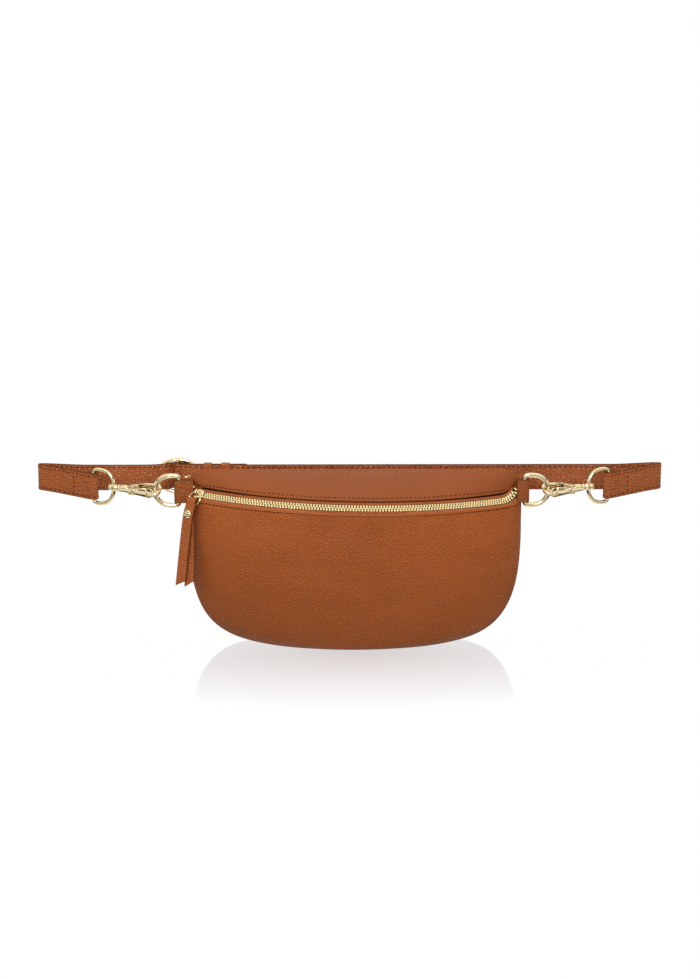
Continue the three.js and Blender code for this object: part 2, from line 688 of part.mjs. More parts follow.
const barBend = BUCKLE_BAR + 0.4 + STRAP_THICKNESS / 2;
const tailY = RUN_Y + 2 * PLY;
const strapEndLeft = strapEnd().map(([x, y]) => [-x, y]);

// Points of the strap's way round the bar, from the side facing the pack to the outer side.
const roundBar = [-70, -110, -150, -180, -210, -250, -290].map((degrees) => {
  const turn = THREE.MathUtils.degToRad(degrees);
  return [BUCKLE_X + barBend * Math.cos(turn), BUCKLE_Y + barBend * Math.sin(turn)];
});

const longPath = [...strapEnd(), ...smoothPath([
  [BUCKLE_X + 40, RUN_Y], [BUCKLE_X + 22, RUN_Y], [BUCKLE_X + 12, RUN_Y + 0.2],
  [BUCKLE_X + 6.5, RUN_Y + 1.6], ...roundBar, [BUCKLE_X + 6, RUN_Y + PLY + 3.2],
  [BUCKLE_X + 10, RUN_Y + PLY + 0.4], [BUCKLE_X + 14, RUN_Y + PLY], [BUCKLE_X + 34, RUN_Y + PLY],
], 48)];
const shortPath = [...strapEndLeft, ...smoothPath([
  [BUCKLE_X - 34, RUN_Y], [BUCKLE_X - 24, RUN_Y + 0.8], [BUCKLE_X - 17, RUN_Y + 3],
  [BUCKLE_X - 12.6, tailY - 0.1], [BUCKLE_X - 8.5, tailY + 2.6], [BUCKLE_X - 4.6, BUCKLE_Y + 3.3],
  [BUCKLE_X, BUCKLE_Y + barBend + PLY + 0.3], [BUCKLE_X + 4.6, BUCKLE_Y + 3.5],
  [BUCKLE_X + 8.6, tailY + 2.8], [BUCKLE_X + 12.8, tailY + 0.1], [BUCKLE_X + 18, tailY],
  [BUCKLE_X + 66, tailY],
], 36)];

const SLOT_HALF_HEIGHT = 2.4;
const prongSlot = box(
  BUCKLE_X - 13, BUCKLE_X + 6.5, BUCKLE_Y - 4.6, BUCKLE_Y + 9,
  RING_Z - SLOT_HALF_HEIGHT, RING_Z + SLOT_HALF_HEIGHT);
const strapLong = planPlate(thickPath(longPath, STRAP_THICKNESS), ...STRAP_Z);
const strapShort = planPlate(thickPath(shortPath, STRAP_THICKNESS), ...STRAP_Z);
add('strap_long', cut(strapLong, prongSlot), leather, beltFrame);
add('strap_short', cut(strapShort, prongSlot), leather, beltFrame);

// ---- buckle and keepers -------------------------------------------------------------------
const frameLoop = Array.from({ length: 40 }, (_, i) => {
  const turn = (2 * Math.PI * i) / 40;
  return [BUCKLE_RADIUS * Math.cos(turn), BUCKLE_RADIUS * Math.sin(turn)];
});
const buckleBar = upright(BUCKLE_BAR, -BUCKLE_RADIUS, BUCKLE_RADIUS, 0, 0);
const buckleFrame = join(wireLoop(frameLoop, BUCKLE_WIRE, 8), buckleBar);
buckleFrame.translate(BUCKLE_X, BUCKLE_Y, RING_Z);
add('buckle_frame', buckleFrame, gold, beltFrame);

const PRONG_WIRE = 0.95;
const prongY = BUCKLE_WIRE + GAP + PRONG_WIRE;
const prongEye = new THREE.TorusGeometry(BUCKLE_BAR + GAP + PRONG_WIRE, PRONG_WIRE, 8, 20);
const prongShaft = new THREE.CylinderGeometry(PRONG_WIRE, PRONG_WIRE, BUCKLE_RADIUS + 3, 12);
prongShaft.rotateZ(Math.PI / 2);
prongShaft.translate(-(BUCKLE_RADIUS + 3) / 2, prongY, 0);
const prong = join(prongEye, prongShaft);
prong.translate(BUCKLE_X, BUCKLE_Y, RING_Z);
add('buckle_prong', prong, gold, beltFrame);

const KEEPER_WIDTH = 8;
const KEEPER_THICKNESS = 1.4;
const keeperInside = [RUN_Y - STRAP_THICKNESS / 2 - 0.4, tailY + STRAP_THICKNESS / 2 + 0.4];

function keeper(x) {
  const outside = box(
    x - KEEPER_WIDTH / 2, x + KEEPER_WIDTH / 2,
    keeperInside[0] - KEEPER_THICKNESS, keeperInside[1] + KEEPER_THICKNESS,
    STRAP_Z[0] - 0.5 - KEEPER_THICKNESS, STRAP_Z[1] + 0.5 + KEEPER_THICKNESS);
  const inside = box(
    x - KEEPER_WIDTH, x + KEEPER_WIDTH, ...keeperInside, STRAP_Z[0] - 0.5, STRAP_Z[1] + 0.5);
  return cut(outside, inside);
}

add('fixed_keeper', keeper(BUCKLE_X + 29), leather, beltFrame);
add('sliding_keeper', keeper(BUCKLE_X + 46), leather, beltFrame);

export default pack;
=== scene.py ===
"""Looks of the half-moon waist pack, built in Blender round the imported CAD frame.

Shapes are worked out in millimetres, in the frame's axes, and turned into metres where a piece's
mesh is made.
"""
import bisect
import math
import random

import bmesh
import bpy
from mathutils import Matrix, Vector, noise


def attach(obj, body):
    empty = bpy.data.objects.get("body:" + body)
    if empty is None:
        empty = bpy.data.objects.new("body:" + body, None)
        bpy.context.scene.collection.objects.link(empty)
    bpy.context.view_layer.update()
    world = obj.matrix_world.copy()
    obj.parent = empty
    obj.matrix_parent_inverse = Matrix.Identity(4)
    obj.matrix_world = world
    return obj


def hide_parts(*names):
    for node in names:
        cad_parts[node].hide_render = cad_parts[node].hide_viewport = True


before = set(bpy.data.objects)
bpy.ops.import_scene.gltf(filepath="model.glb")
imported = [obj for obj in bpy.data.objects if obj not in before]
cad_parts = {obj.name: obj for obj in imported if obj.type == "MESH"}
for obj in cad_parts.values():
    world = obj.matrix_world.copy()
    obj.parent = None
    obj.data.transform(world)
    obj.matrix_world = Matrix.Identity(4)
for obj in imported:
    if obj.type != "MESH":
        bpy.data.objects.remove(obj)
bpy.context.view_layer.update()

MM = 0.001
ACROSS = Vector((1, 0, 0))
BACKWARD = Vector((0, 1, 0))
UP = Vector((0, 0, 1))
random.seed(7)

# ---- driving dimensions, as in the CAD part ----
GAP = 0.3
LEATHER = 2.0
BODY_HALF_WIDTH = 157.0
WIDEST_Z = 122.0
OUTLINE_REACH = 125.0
OUTLINE_FALL = 3.2
OUTLINE_FULLNESS = 0.19
BASE_HALF_WIDTH = 96.0
TOP_Z = 164.0
TOP_HALF_WIDTH = 138.0
CORNER_Z = 150.0
CORNER_HALF_WIDTH = 154.0
BACK_Y = 22.0
SEAM_Y = BACK_Y - LEATHER - GAP
PLAN_ROUNDNESS = 1.9

ZIP_RADIUS = 241.0
ZIP_AXIS = Vector((0, 203.0, 139.0))
ZIP_TILT = math.radians(1.1)
ZIP_SLOPE = math.radians(50.7)
SLIDER_ANGLE = math.radians(-37.3)
LIP_S = 6.3
LIP_N = 1.0
END_RISE = 8.0
RISE_START_RIGHT = 34.8
RISE_LENGTH_RIGHT = 3.9
RISE_START_LEFT = -38.0
RISE_LENGTH_LEFT = 2.0

BELT_SHIFT = Matrix.Translation((-3, 0, 0))
RING_PLANE_Y = 14.0
RING_Z = 145.3
D_RING_BAR_X = 162.3
D_RING_REACH = 22.4
HOOK_TURN = math.radians(20)
HOOK_X = D_RING_BAR_X + D_RING_REACH
EYE_BAR_U = 62.4
STRAP_WIDTH = 25.0
STRAP_THICKNESS = 1.8
FOLD_X = 299.0
RUN_Y = 66.6
PLY = STRAP_THICKNESS + GAP
BUCKLE_X = -166.0
BUCKLE_Y = 74.0
BUCKLE_HALF_WIDTH = 17.8
BUCKLE_HALF_HEIGHT = 15.6


# ---- materials ----
class Nodes:
    """A short way to write a node tree. A kind of node is named without its "ShaderNode"."""

    def __init__(self, tree):
        self.tree = tree

    def add(self, kind, inputs=None, **settings):
        node = self.tree.nodes.new(f"ShaderNode{kind}")
        for key, value in settings.items():
            setattr(node, key, value)
        return self.fill(node, inputs or {})

    def fill(self, node, inputs):
        """Links or sets inputs, each found by its name or number."""
        for key, value in inputs.items():
            if isinstance(value, bpy.types.NodeSocket):
                self.tree.links.new(value, node.inputs[key])
            else:
                node.inputs[key].default_value = value
        return node

    def ramp(self, factor, *stops):
        """A colour ramp; a stop is its place and a colour or a grey level."""
        node = self.add("ValToRGB", {"Fac": factor})
        elements = node.color_ramp.elements
        while len(elements) < len(stops):
            elements.new(0.5)
        for element, (place, color) in zip(elements, stops):
            element.position = place
            element.color = (*(color if isinstance(color, tuple) else (color,) * 3), 1)
        return node.outputs["Color"]

    def mix(self, factor, a, b, blend="MIX"):
        inputs = {"Factor": factor, "A": a, "B": b}
        return self.add("Mix", inputs, data_type="RGBA", blend_type=blend).outputs["Result"]

    def spread(self, value, to_low, to_high, low=0.0, high=1.0):
        """Carries the range from low to high over to another range."""
        return self.add("MapRange", {"Value": value, "From Min": low, "From Max": high,
                                     "To Min": to_low, "To Max": to_high}).outputs["Result"]

    def noise(self, place, scale, detail, roughness=0.5):
        inputs = {"Vector": place, "Scale": scale, "Detail": detail, "Roughness": roughness}
        return self.add("TexNoise", inputs).outputs["Fac"]

    def wave(self, place, scale, distortion, direction="X"):
        inputs = {"Vector": place, "Scale": scale, "Distortion": distortion}
        return self.add("TexWave", inputs, bands_direction=direction).outputs["Fac"]

    def bump(self, height, strength, distance, normal=None):
        inputs = {"Height": height, "Strength": strength, "Distance": distance}
        if normal is not None:
            inputs["Normal"] = normal
        return self.add("Bump", inputs).outputs["Normal"]

    def place(self, scale=(1, 1, 1)):
        where = self.add("TexCoord").outputs["Object"]
        return self.add("Mapping", {"Vector": where, "Scale": scale}).outputs["Vector"]


class Surface(Nodes):
    """The node tree of a new material."""

    def __init__(self, name):
        self.material = bpy.data.materials.new(name)
        self.material.use_nodes = True
        super().__init__(self.material.node_tree)

    def finish(self, inputs):
        """Fills the material's shader and hands the material over."""
        self.fill(self.tree.nodes["Principled BSDF"], inputs)
        return self.material


def shade(color, factor):
    return tuple(min(1.0, c * factor) for c in color)


def leather_material(name, color, cell, depth, roughness, stretch=(1, 1, 1), shine=0.2):
    """Pebbled leather. cell is the width of a pebble in mm; depth is the bump strength and how dark the
    painted shade in the creases between pebbles is.
    """
    n = Surface(name)
    place = n.place(stretch)
    drift = n.add("TexNoise", {"Vector": place, "Scale": 300.0 / cell, "Detail": 2.0}).outputs["Color"]
    bent = n.add("VectorMath", {0: drift, 1: (0.0012 * cell,) * 3, 2: place}, operation="MULTIPLY_ADD")
    cells = n.add("TexVoronoi", {"Vector": bent.outputs["Vector"], "Scale": 1000.0 / cell},
                  feature="DISTANCE_TO_EDGE")
    pebble = n.ramp(cells.outputs["Distance"], (0.0, 0.0), (0.1, 0.5), (0.3, 0.92), (0.5, 1.0))
    patches = n.noise(place, 30.0, 3.0, 0.6)
    strength = n.ramp(patches, (0.3, 0.35), (0.65, 1.0))
    grain = n.add("Math", {0: pebble, 1: strength}, operation="MULTIPLY").outputs[0]
    pores = n.bump(n.noise(place, 1500.0, 4.0), 0.25, 0.0003)
    tone = n.ramp(n.noise(place, 9.0, 2.0), (0.3, shade(color, 0.94)), (0.7, shade(color, 1.06)))
    # Painted shade: the colour darkens in the creases between pebbles, by up to 0.3 times depth.
    painted_crease_shade = n.ramp(pebble, (0.0, 1 - 0.3 * depth), (0.5, 1.0))
    return n.finish({
        "Base Color": n.mix(1.0, tone, painted_crease_shade, "MULTIPLY"),
        "Roughness": n.spread(patches, roughness - 0.05, roughness + 0.07),
        "Normal": n.bump(grain, depth, 0.00045 * cell, pores), "Specular IOR Level": shine})


def plain_leather(name, color, roughness):
    """Smooth painted leather of cut edges and thin facings; also the near-black strip of painted shadow under
    the top panel's front edge.
    """
    n = Surface(name)
    streak = n.noise(n.place(), 420.0, 3.0)
    return n.finish({
        "Base Color": n.ramp(streak, (0.3, shade(color, 0.88)), (0.7, shade(color, 1.1))),
        "Normal": n.bump(streak, 0.25, 0.0003), "Roughness": roughness, "Specular IOR Level": 0.15})


def thread_material(name, color):
    n = Surface(name)
    twist = n.wave(n.place(), 900.0, 1.5)
    # The colour follows the twist: painted shade in its grooves and painted light on its crests.
    return n.finish({
        "Base Color": n.ramp(twist, (0.2, shade(color, 0.7)), (0.8, shade(color, 1.25))),
        "Normal": n.bump(twist, 0.5, 0.0002), "Roughness": 0.6, "Specular IOR Level": 0.15})


def metal_material(name, color, roughness):
    """Plated metal with a faint ripple, fine hairlines and duller patches."""
    n = Surface(name)
    cloud = n.noise(n.place(), 90.0, 3.0)
    hair = n.noise(n.place((1, 1, 14)), 900.0, 3.0)
    return n.finish({
        "Base Color": n.ramp(cloud, (0.3, shade(color, 0.94)), (0.7, shade(color, 1.04))),
        "Roughness": n.spread(hair, roughness - 0.04, roughness + 0.08),
        "Normal": n.bump(cloud, 0.02, 0.0003), "Metallic": 1.0})


def woven_material(name, color, threads_per_mm):
    """Plain weave of zip tape and lining. Its colour follows the weave's height: painted shade in the gaps
    between threads and painted light on their tops.
    """
    n = Surface(name)
    place = n.place()
    warp, weft = (n.wave(place, 330.0 * threads_per_mm, 0.6, direction) for direction in "XZ")
    weave = n.add("Math", {0: warp, 1: weft}, operation="MAXIMUM").outputs[0]
    return n.finish({
        "Base Color": n.ramp(weave, (0.2, shade(color, 0.6)), (0.9, shade(color, 1.15))),
        "Normal": n.bump(weave, 0.6, 0.0003), "Roughness": 0.88, "Sheen Weight": 0.25})


TAN = (0.385, 0.097, 0.02)
STRAP_TAN = (0.4, 0.107, 0.026)
body_leather = leather_material("body_leather", TAN, 2.9, 0.6, 0.46, (0.75, 0.75, 1.35), 0.16)
# The top panel's leather is the body colour darkened to 0.76: painted shade that makes up for the stronger
# light from above on the top.
top_painted_shade_leather = leather_material("top_painted_shade_leather", shade(TAN, 0.76), 2.6, 0.3, 0.5, (0.8, 0.8, 1.2))
strap_leather = leather_material("strap_leather", STRAP_TAN, 4.0, 0.62, 0.42, (0.5, 0.5, 1.4), 0.25)
tab_leather = leather_material("tab_leather", shade(STRAP_TAN, 0.78), 3.6, 0.5, 0.46, (0.7, 0.7, 1.3))
# The strap's inner face is the strap colour lightened by 1.12: painted light on a face that mostly lies in
# shade behind the bag.
inner_strap_painted_light_leather = leather_material("inner_strap_painted_light_leather", shade(STRAP_TAN, 1.12), 3.0, 0.95, 0.34,
                                       (1.1, 1.1, 0.9), 0.42)
edge_leather = plain_leather("edge_leather", shade(TAN, 0.35), 0.6)
facing_leather = plain_leather("facing_leather", (0.37, 0.105, 0.032), 0.5)
# A near-black strip of painted shadow for the dark line under the top panel's front edge.
gap_leather = plain_leather("gap_leather", shade(TAN, 0.07), 0.8)
thread = thread_material("thread", (0.085, 0.015, 0.003))
gold = metal_material("gold", (0.94, 0.79, 0.5), 0.07)
zip_gold = metal_material("zip_gold", (0.95, 0.75, 0.39), 0.15)
zip_cloth = woven_material("zip_cloth", (0.12, 0.04, 0.016), 1.6)
lining_cloth = woven_material("lining_cloth", (0.26, 0.19, 0.13), 1.2)


# ---- mesh building ----
class Shape:
    """Vertices in millimetres and faces, gathered from one or more solids."""

    def __init__(self, verts=(), faces=()):
        self.verts = [Vector(v) for v in verts]
        self.faces = list(faces)
        self.marks = [0] * len(self.faces)

    def merge(self, other):
        start = len(self.verts)
        self.verts.extend(other.verts)
        self.faces.extend(tuple(start + i for i in face) for face in other.faces)
        self.marks.extend(other.marks)
        return self

    def moved(self, matrix):
        self.verts = [matrix @ v for v in self.verts]
        return self


MIRROR = Matrix.Scale(-1, 4, ACROSS)
PACK_BODIES = ("pack_body", "slider", "zip_pull")


def face_outward(mesh):
    """Turns the faces of every closed solid in a mesh so that they look outward."""
    work = bmesh.new()
    work.from_mesh(mesh)
    bmesh.ops.recalc_face_normals(work, faces=work.faces)
    work.to_mesh(mesh)
    work.free()


def make_piece(name, shape, slot, materials, *nodes, body="pack_body"):
    """One visible piece. A face's mark says which of its materials it has."""
    if body not in PACK_BODIES:
        shape.moved(BELT_SHIFT)
    mesh = bpy.data.meshes.new(name)
    mesh.from_pydata([v * MM for v in shape.verts], [], shape.faces)
    for material in materials if isinstance(materials, list) else [materials]:
        mesh.materials.append(material)
    for polygon, mark in zip(mesh.polygons, shape.marks):
        polygon.use_smooth = True
        polygon.material_index = mark
    face_outward(mesh)
    piece = bpy.data.objects.new(name, mesh)
    bpy.context.scene.collection.objects.link(piece)
    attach(piece, body)
    if nodes:
        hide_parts(*nodes)


def along_at(line, i, closed=False):
    """The way from the point before one of a line's points to the point after it."""
    if closed:
        return line[(i + 1) % len(line)] - line[i - 1]
    return line[min(i + 1, len(line) - 1)] - line[max(i - 1, 0)]


def skin(rings, closed=False, caps=True):
    """Quads between rings of equal count, with a flat cap at each end of an open row."""
    count = len(rings[0])
    faces = []
    for i in range(len(rings) if closed else len(rings) - 1):
        a = i * count
        b = (i + 1) % len(rings) * count
        for j in range(count):
            k = (j + 1) % count
            faces.append((a + j, a + k, b + k, b + j))
    if caps and not closed:
        end = (len(rings) - 1) * count
        faces.append(tuple(reversed(range(count))))
        faces.append(tuple(range(end, end + count)))
    return Shape([v for ring in rings for v in ring], faces)


def points_round(centre, radius, degrees):
    """Points in plan at a distance from a centre, one for each angle."""
    turns = [math.radians(angle) for angle in degrees]
    return [(centre[0] + radius * math.cos(turn), centre[1] + radius * math.sin(turn)) for turn in turns]


def arc(centre, radius, start, end, steps):
    """Points of an arc in plan, from one angle to another in degrees."""
    return points_round(centre, radius, [start + (end - start) * i / steps for i in range(steps + 1)])


def circle(sides, radius=1.0):
    return arc((0, 0), radius, 0, 360, sides)[:-1]


def rounded_section(width, thickness, radius, steps=4):
    """(across, out) points of a rectangle with round corners."""
    points = []
    for sx, sy, start in ((1, 1, 0), (-1, 1, 90), (-1, -1, 180), (1, -1, 270)):
        corner = (sx * (width / 2 - radius), sy * (thickness / 2 - radius))
        points += arc(corner, radius, start, start + 90, steps)
    return points


def smooth_path(points, per_span, closed=False):
    """A centripetal Catmull-Rom curve through given points."""
    points = [Vector(p).to_3d() for p in points]
    count = len(points)
    if closed:
        ring = [points[-1], *points, points[0], points[1]]
    else:
        ring = [points[0] * 2 - points[1], *points, points[-1] * 2 - points[-2]]
    line = []
    for i in range(count if closed else count - 1):
        p0, p1, p2, p3 = ring[i:i + 4]
        t1 = max((p1 - p0).length, 1e-6) ** 0.5
        t2 = t1 + max((p2 - p1).length, 1e-6) ** 0.5
        t3 = t2 + max((p3 - p2).length, 1e-6) ** 0.5
        for step in range(per_span):
            t = t1 + (t2 - t1) * step / per_span
            a1 = p0.lerp(p1, t / t1)
            a2 = p1.lerp(p2, (t - t1) / (t2 - t1))
            a3 = p2.lerp(p3, (t - t2) / (t3 - t2))
            b1 = a1.lerp(a2, t / t2)
            b2 = a2.lerp(a3, (t - t1) / (t3 - t1))
            line.append(b1.lerp(b2, (t - t1) / (t2 - t1)))
    if not closed:
        line.append(points[-1])
    return line


def distances(line):
    """How far along a line each of its points is."""
    out = [0.0]
    for a, b in zip(line, line[1:]):
        out.append(out[-1] + (b - a).length)
    return out


def spot_at(lengths, distance):
    """The span of a line that holds a distance, and the share of the span before it."""
    k = min(bisect.bisect_left(lengths, distance, 1) - 1, len(lengths) - 2)
    return k, (distance - lengths[k]) / max(lengths[k + 1] - lengths[k], 1e-9)


def resample(line, step):
    """Points at even distances along a line."""
    lengths = distances(line)
    count = max(2, round(lengths[-1] / step))
    out = []
    for i in range(count + 1):
        k, share = spot_at(lengths, lengths[-1] * i / count)
        out.append(line[k].lerp(line[k + 1], share))
    return out


def tube(line, radius, normal, sides=16, closed=True, squeeze=1.0):
    """Round wire along a flat line; normal is the direction square to the line's plane."""
    rings = []
    for i, point in enumerate(line):
        side = along_at(line, i, closed).normalized().cross(normal)
        width = radius(i / len(line)) if callable(radius) else radius
        rings.append([point + side * a + normal * (squeeze * b) for a, b in circle(sides, width)])
    return skin(rings, closed)


def mark_strap(shape, section, outer, inner, edge):
    """Marks the outer and inner faces of a strap that is swept from a section, and its edges."""
    count = len(section)
    shape.marks = []
    for face in shape.faces:
        j = face[0] % count
        out = section[j][1]
        flat = len(face) == 4 and abs(out - section[(j + 1) % count][1]) < 1e-6
        shape.marks.append((outer if out > 0 else inner) if flat else edge)
    return shape


def plan_sweep(line, section, centre_z, outer=0, inner=0, edge=0):
    """A strap: its section stands upright while it follows a line in plan."""
    rings = []
    outs = []
    for i, point in enumerate(line):
        out = along_at(line, i).cross(UP).normalized()
        outs.append(out)
        rings.append([point + out * b + UP * (a + centre_z) for a, b in section])
    return mark_strap(skin(rings), section, outer, inner, edge), outs


# A stitch's share of its length, its girth and its height, from one end to the other.
STITCH_PROFILE = ((0.0, 0.45, -1.3), (0.12, 0.85, 0.1), (0.35, 1.0, 0.9),
                  (0.65, 1.0, 0.9), (0.88, 0.85, 0.1), (1.0, 0.45, -1.3))
STITCH_FLATNESS = 0.8
STITCH_SLANT = 0.12


def stitches(line, outs, pitch=4.4, length=3.0, radius=0.42, lift=0.25):
    """Separate thread stitches along a line on a surface. outs are the surface's directions out."""
    lengths = distances(line)

    def at(distance):
        k, share = spot_at(lengths, distance)
        return line[k].lerp(line[k + 1], share), outs[k].lerp(outs[k + 1], share).normalized()

    shape = Shape()
    distance = 1.0
    while distance + length < lengths[-1] - 0.5:
        rings = []
        slant = random.uniform(-STITCH_SLANT, STITCH_SLANT)
        for share, girth, height in STITCH_PROFILE:
            point, out = at(distance + share * length)
            ahead, _ = at(distance + share * length + 0.3)
            side = (ahead - point).normalized().cross(out)
            centre = point + out * (height * lift) + side * (slant * (share - 0.5) * 2)
            rings.append([centre + side * a + out * (STITCH_FLATNESS * b)
                          for a, b in circle(8, radius * girth)])
        shape.merge(skin(rings))
        distance += pitch
    return shape


def plate(outline, low, high, steps=3, inset=0.4):
    """A flat plate in plan with softly rounded rims; outline is a list of (x, y)."""
    points = [Vector((*p, 0)) for p in outline]
    inward = []
    area = 0.0
    for i, point in enumerate(points):
        inward.append(UP.cross(along_at(points, i, True)).normalized())
        area += points[i - 1].cross(point).z
    rings = []
    for level, way in ((low, 1), (high, -1)):
        for i in range(steps + 1)[::way]:
            turn = math.pi / 2 * i / steps
            pull = math.copysign(inset * (1 - math.sin(turn)), area)
            height = level + way * inset * (1 - math.cos(turn))
            rings.append([p + UP * height + n * pull for p, n in zip(points, inward)])
    return skin(rings)


def lathe(profile, sides=32):
    """A solid of revolution about +Z; profile is (radius, height) from the axis back to it."""
    return skin([[Vector((x, y, h)) for x, y in circle(sides, r)] for r, h in profile])


def smooth_step(value, low, high):
    share = min(1.0, max(0.0, (value - low) / (high - low)))
    return share * share * (3 - 2 * share)


def hump(value, middle, width):
    """A smooth rise to 1 and back round a middle."""
    return math.exp(-((value - middle) / width) ** 2)


# ---- the shell ----
def half_width(z):
    fall = max(0.0, WIDEST_Z - z) / OUTLINE_REACH
    return BODY_HALF_WIDTH * (1 - fall ** OUTLINE_FALL) ** OUTLINE_FULLNESS


def band_section(s, n):
    """Radius and height of a point beside the zip: s down its slope, n out from it."""
    r = ZIP_RADIUS + s * math.cos(ZIP_SLOPE) + n * math.sin(ZIP_SLOPE)
    h = -s * math.sin(ZIP_SLOPE) + n * math.cos(ZIP_SLOPE)
    return r, h


def end_rise(angle, r):
    """How far the zip and the edges beside it turn up past the ends of the slider's travel."""
    right = max(0.0, math.degrees(angle) - RISE_START_RIGHT) / RISE_LENGTH_RIGHT
    left = max(0.0, RISE_START_LEFT - math.degrees(angle)) / RISE_LENGTH_LEFT
    share = 1 - 0.6 * smooth_step(r, ZIP_RADIUS, ZIP_RADIUS + 5)
    return END_RISE * (right ** 2 + left ** 2) * share


def zip_point(angle, r, h):
    x = r * math.sin(angle)
    return Vector((
        x * math.cos(ZIP_TILT) + h * math.sin(ZIP_TILT),
        ZIP_AXIS.y - r * math.cos(angle),
        ZIP_AXIS.z - x * math.sin(ZIP_TILT) + h * math.cos(ZIP_TILT) + end_rise(angle, r)))


FRONT_PROFILE = [(-21, 0), (-26, 5), (-33, 18), (-40, 38), (-45, 62), (-47, 88), (-46, 112), (-42, 134.1)]
LIP_Z = FRONT_PROFILE[-1][1]
LIP_BLEND_Z = 98.0
LIP_SPREAD = 0.987
FRONT_COLUMNS = 260
SEAM_DROP = 9.0
SEAM_MARGIN = 6
SEAM_DEPTH = 0.45
LIP_SWELL = 0.35
FOLD_DEPTH = 0.55
CREASE_DEPTH = 0.16


def front_point(row, column):
    """A point of the front panel. column runs from 0 at the left seam to 1 at the right one."""
    y, z, w = row
    power = 2 / PLAN_ROUNDNESS
    turn = math.pi * (column - 0.5)
    x = w * math.copysign(abs(math.sin(turn)) ** power, turn)
    belly = Vector((x, SEAM_Y - (SEAM_Y - y) * abs(math.cos(turn)) ** power, z))
    r, h = band_section(LIP_S, LIP_N)
    lip = zip_point(math.asin(x * LIP_SPREAD / r), r, h)
    return belly.lerp(lip, smooth_step(z, LIP_BLEND_Z, LIP_Z))


def soft_folds(point):
    """Gentle unevenness of filled leather, in mm."""
    wide = noise.noise(Vector((point.x / 55, point.y / 55, point.z / 26)))
    creases = noise.noise(Vector((point.x / 26 + 7, point.y / 26, point.z / 8)))
    return FOLD_DEPTH * wide + CREASE_DEPTH * creases


def sheet_normals(grid):
    columns = list(zip(*grid))
    return [[along_at(row, j).cross(along_at(columns[j], i)).normalized() for j in range(len(row))]
            for i, row in enumerate(grid)]


RIM_STEPS = 3
SIDE_BULGE = 0.175
END_BULGE = 0.4


def rim_points(start, end, out, reach):
    """Points of a round rim from one face of a sheet to the other."""
    turns = [math.pi * k / (RIM_STEPS + 1) for k in range(1, RIM_STEPS + 1)]
    return [start.lerp(end, (1 - math.cos(turn)) / 2) + out * (reach * math.sin(turn)) for turn in turns]


def soft_sheet(grid):
    """A sheet of leather with a rounded rim all round, drawn from its outer side."""
    rings = []
    for row, normals in zip(grid, sheet_normals(grid)):
        back = [p - n * LEATHER for p, n in zip(row, normals)]
        for point in back:
            point.y = min(point.y, SEAM_Y)
        right = rim_points(row[-1], back[-1], (row[-1] - row[-2]).normalized(), SIDE_BULGE * LEATHER)
        left = rim_points(back[0], row[0], (row[0] - row[1]).normalized(), SIDE_BULGE * LEATHER)
        rings.append([*row, *right, *reversed(back), *left])
    sheet = skin(rings, caps=False)
    count = len(rings[0])
    columns = len(grid[0])
    for row, inside in ((len(grid) - 1, len(grid) - 2), (0, 1)):
        first = len(sheet.verts)
        chains = []
        for j in range(columns):
            inner = 2 * columns + RIM_STEPS - 1 - j
            step = (grid[row][j] - grid[inside][j]).normalized()
            sheet.verts += rim_points(grid[row][j], rings[row][inner], step, END_BULGE * LEATHER)
            rim = range(first + RIM_STEPS * j, first + RIM_STEPS * (j + 1))
            chains.append([row * count + j, *rim, row * count + inner])
        for here, there in zip(chains, chains[1:]):
            for k in range(RIM_STEPS + 1):
                sheet.faces.append((here[k], there[k], there[k + 1], here[k + 1]))
    return Shape(sheet.verts, sheet.faces)


def front_rows():
    """(y, z, half width) of the front panel's rows, first across its base and then up its profile."""
    rows = []
    for share in (0.02, 0.15, 0.3, 0.45, 0.6, 0.72, 0.82, 0.9, 0.96):
        rows.append((SEAM_Y - (SEAM_Y - FRONT_PROFILE[0][0]) * share, 0.0, BASE_HALF_WIDTH * share))
    for point in resample(smooth_path(FRONT_PROFILE, 12), 1.3):
        z = max(point.y, 0.0)
        rows.append((point.x, z, half_width(z)))
    return rows


def front_grid(rows):
    grid = [[front_point(row, j / FRONT_COLUMNS) for j in range(FRONT_COLUMNS + 1)] for row in rows]
    normals = sheet_normals(grid)
    for i, (_, z, _) in enumerate(rows):
        quiet = smooth_step(z, 2.0, 22.0) * (1 - smooth_step(z, LIP_Z - 14, LIP_Z - 4))
        groove = -SEAM_DEPTH * hump(LIP_Z - z, SEAM_DROP, 1.0)
        swell = LIP_SWELL * hump(LIP_Z - z, 1.8, 1.3)
        for j in range(FRONT_COLUMNS + 1):
            edge = min(1.0, min(j, FRONT_COLUMNS - j) / 18)
            push = soft_folds(grid[i][j]) * quiet * edge + groove + swell
            grid[i][j] = grid[i][j] + normals[i][j] * push
    return grid


def make_front():
    """The front panel and the stitches that hold its turned edge to the zip tape."""
    rows = front_rows()
    grid = front_grid(rows)
    make_piece("front_panel_leather", soft_sheet(grid), "leather", body_leather, "front_panel")
    seam = min(range(len(rows)), key=lambda i: abs(LIP_Z - SEAM_DROP - rows[i][1]))
    line, outs = (part[seam][SEAM_MARGIN:-SEAM_MARGIN] for part in (grid, sheet_normals(grid)))
    make_piece("front_seam_stitches", stitches(line, outs, lift=0.55), "leather", thread)


make_front()

TOP_REACH = math.radians(36.8)
CORNER_REACH = math.radians(75)
CORNER_START = 0.8
TOP_ROWS = 56
TOP_COLUMNS = 200
TOP_CROWN = 3.0
TOP_SEAM_INSET = 3.0


def corner_point(turn):
    """Half width and height on the bag's upper corner, from its flat top down to its side."""
    return (TOP_HALF_WIDTH + (CORNER_HALF_WIDTH - TOP_HALF_WIDTH) * math.sin(turn),
            CORNER_Z + (TOP_Z - CORNER_Z) * math.cos(turn))


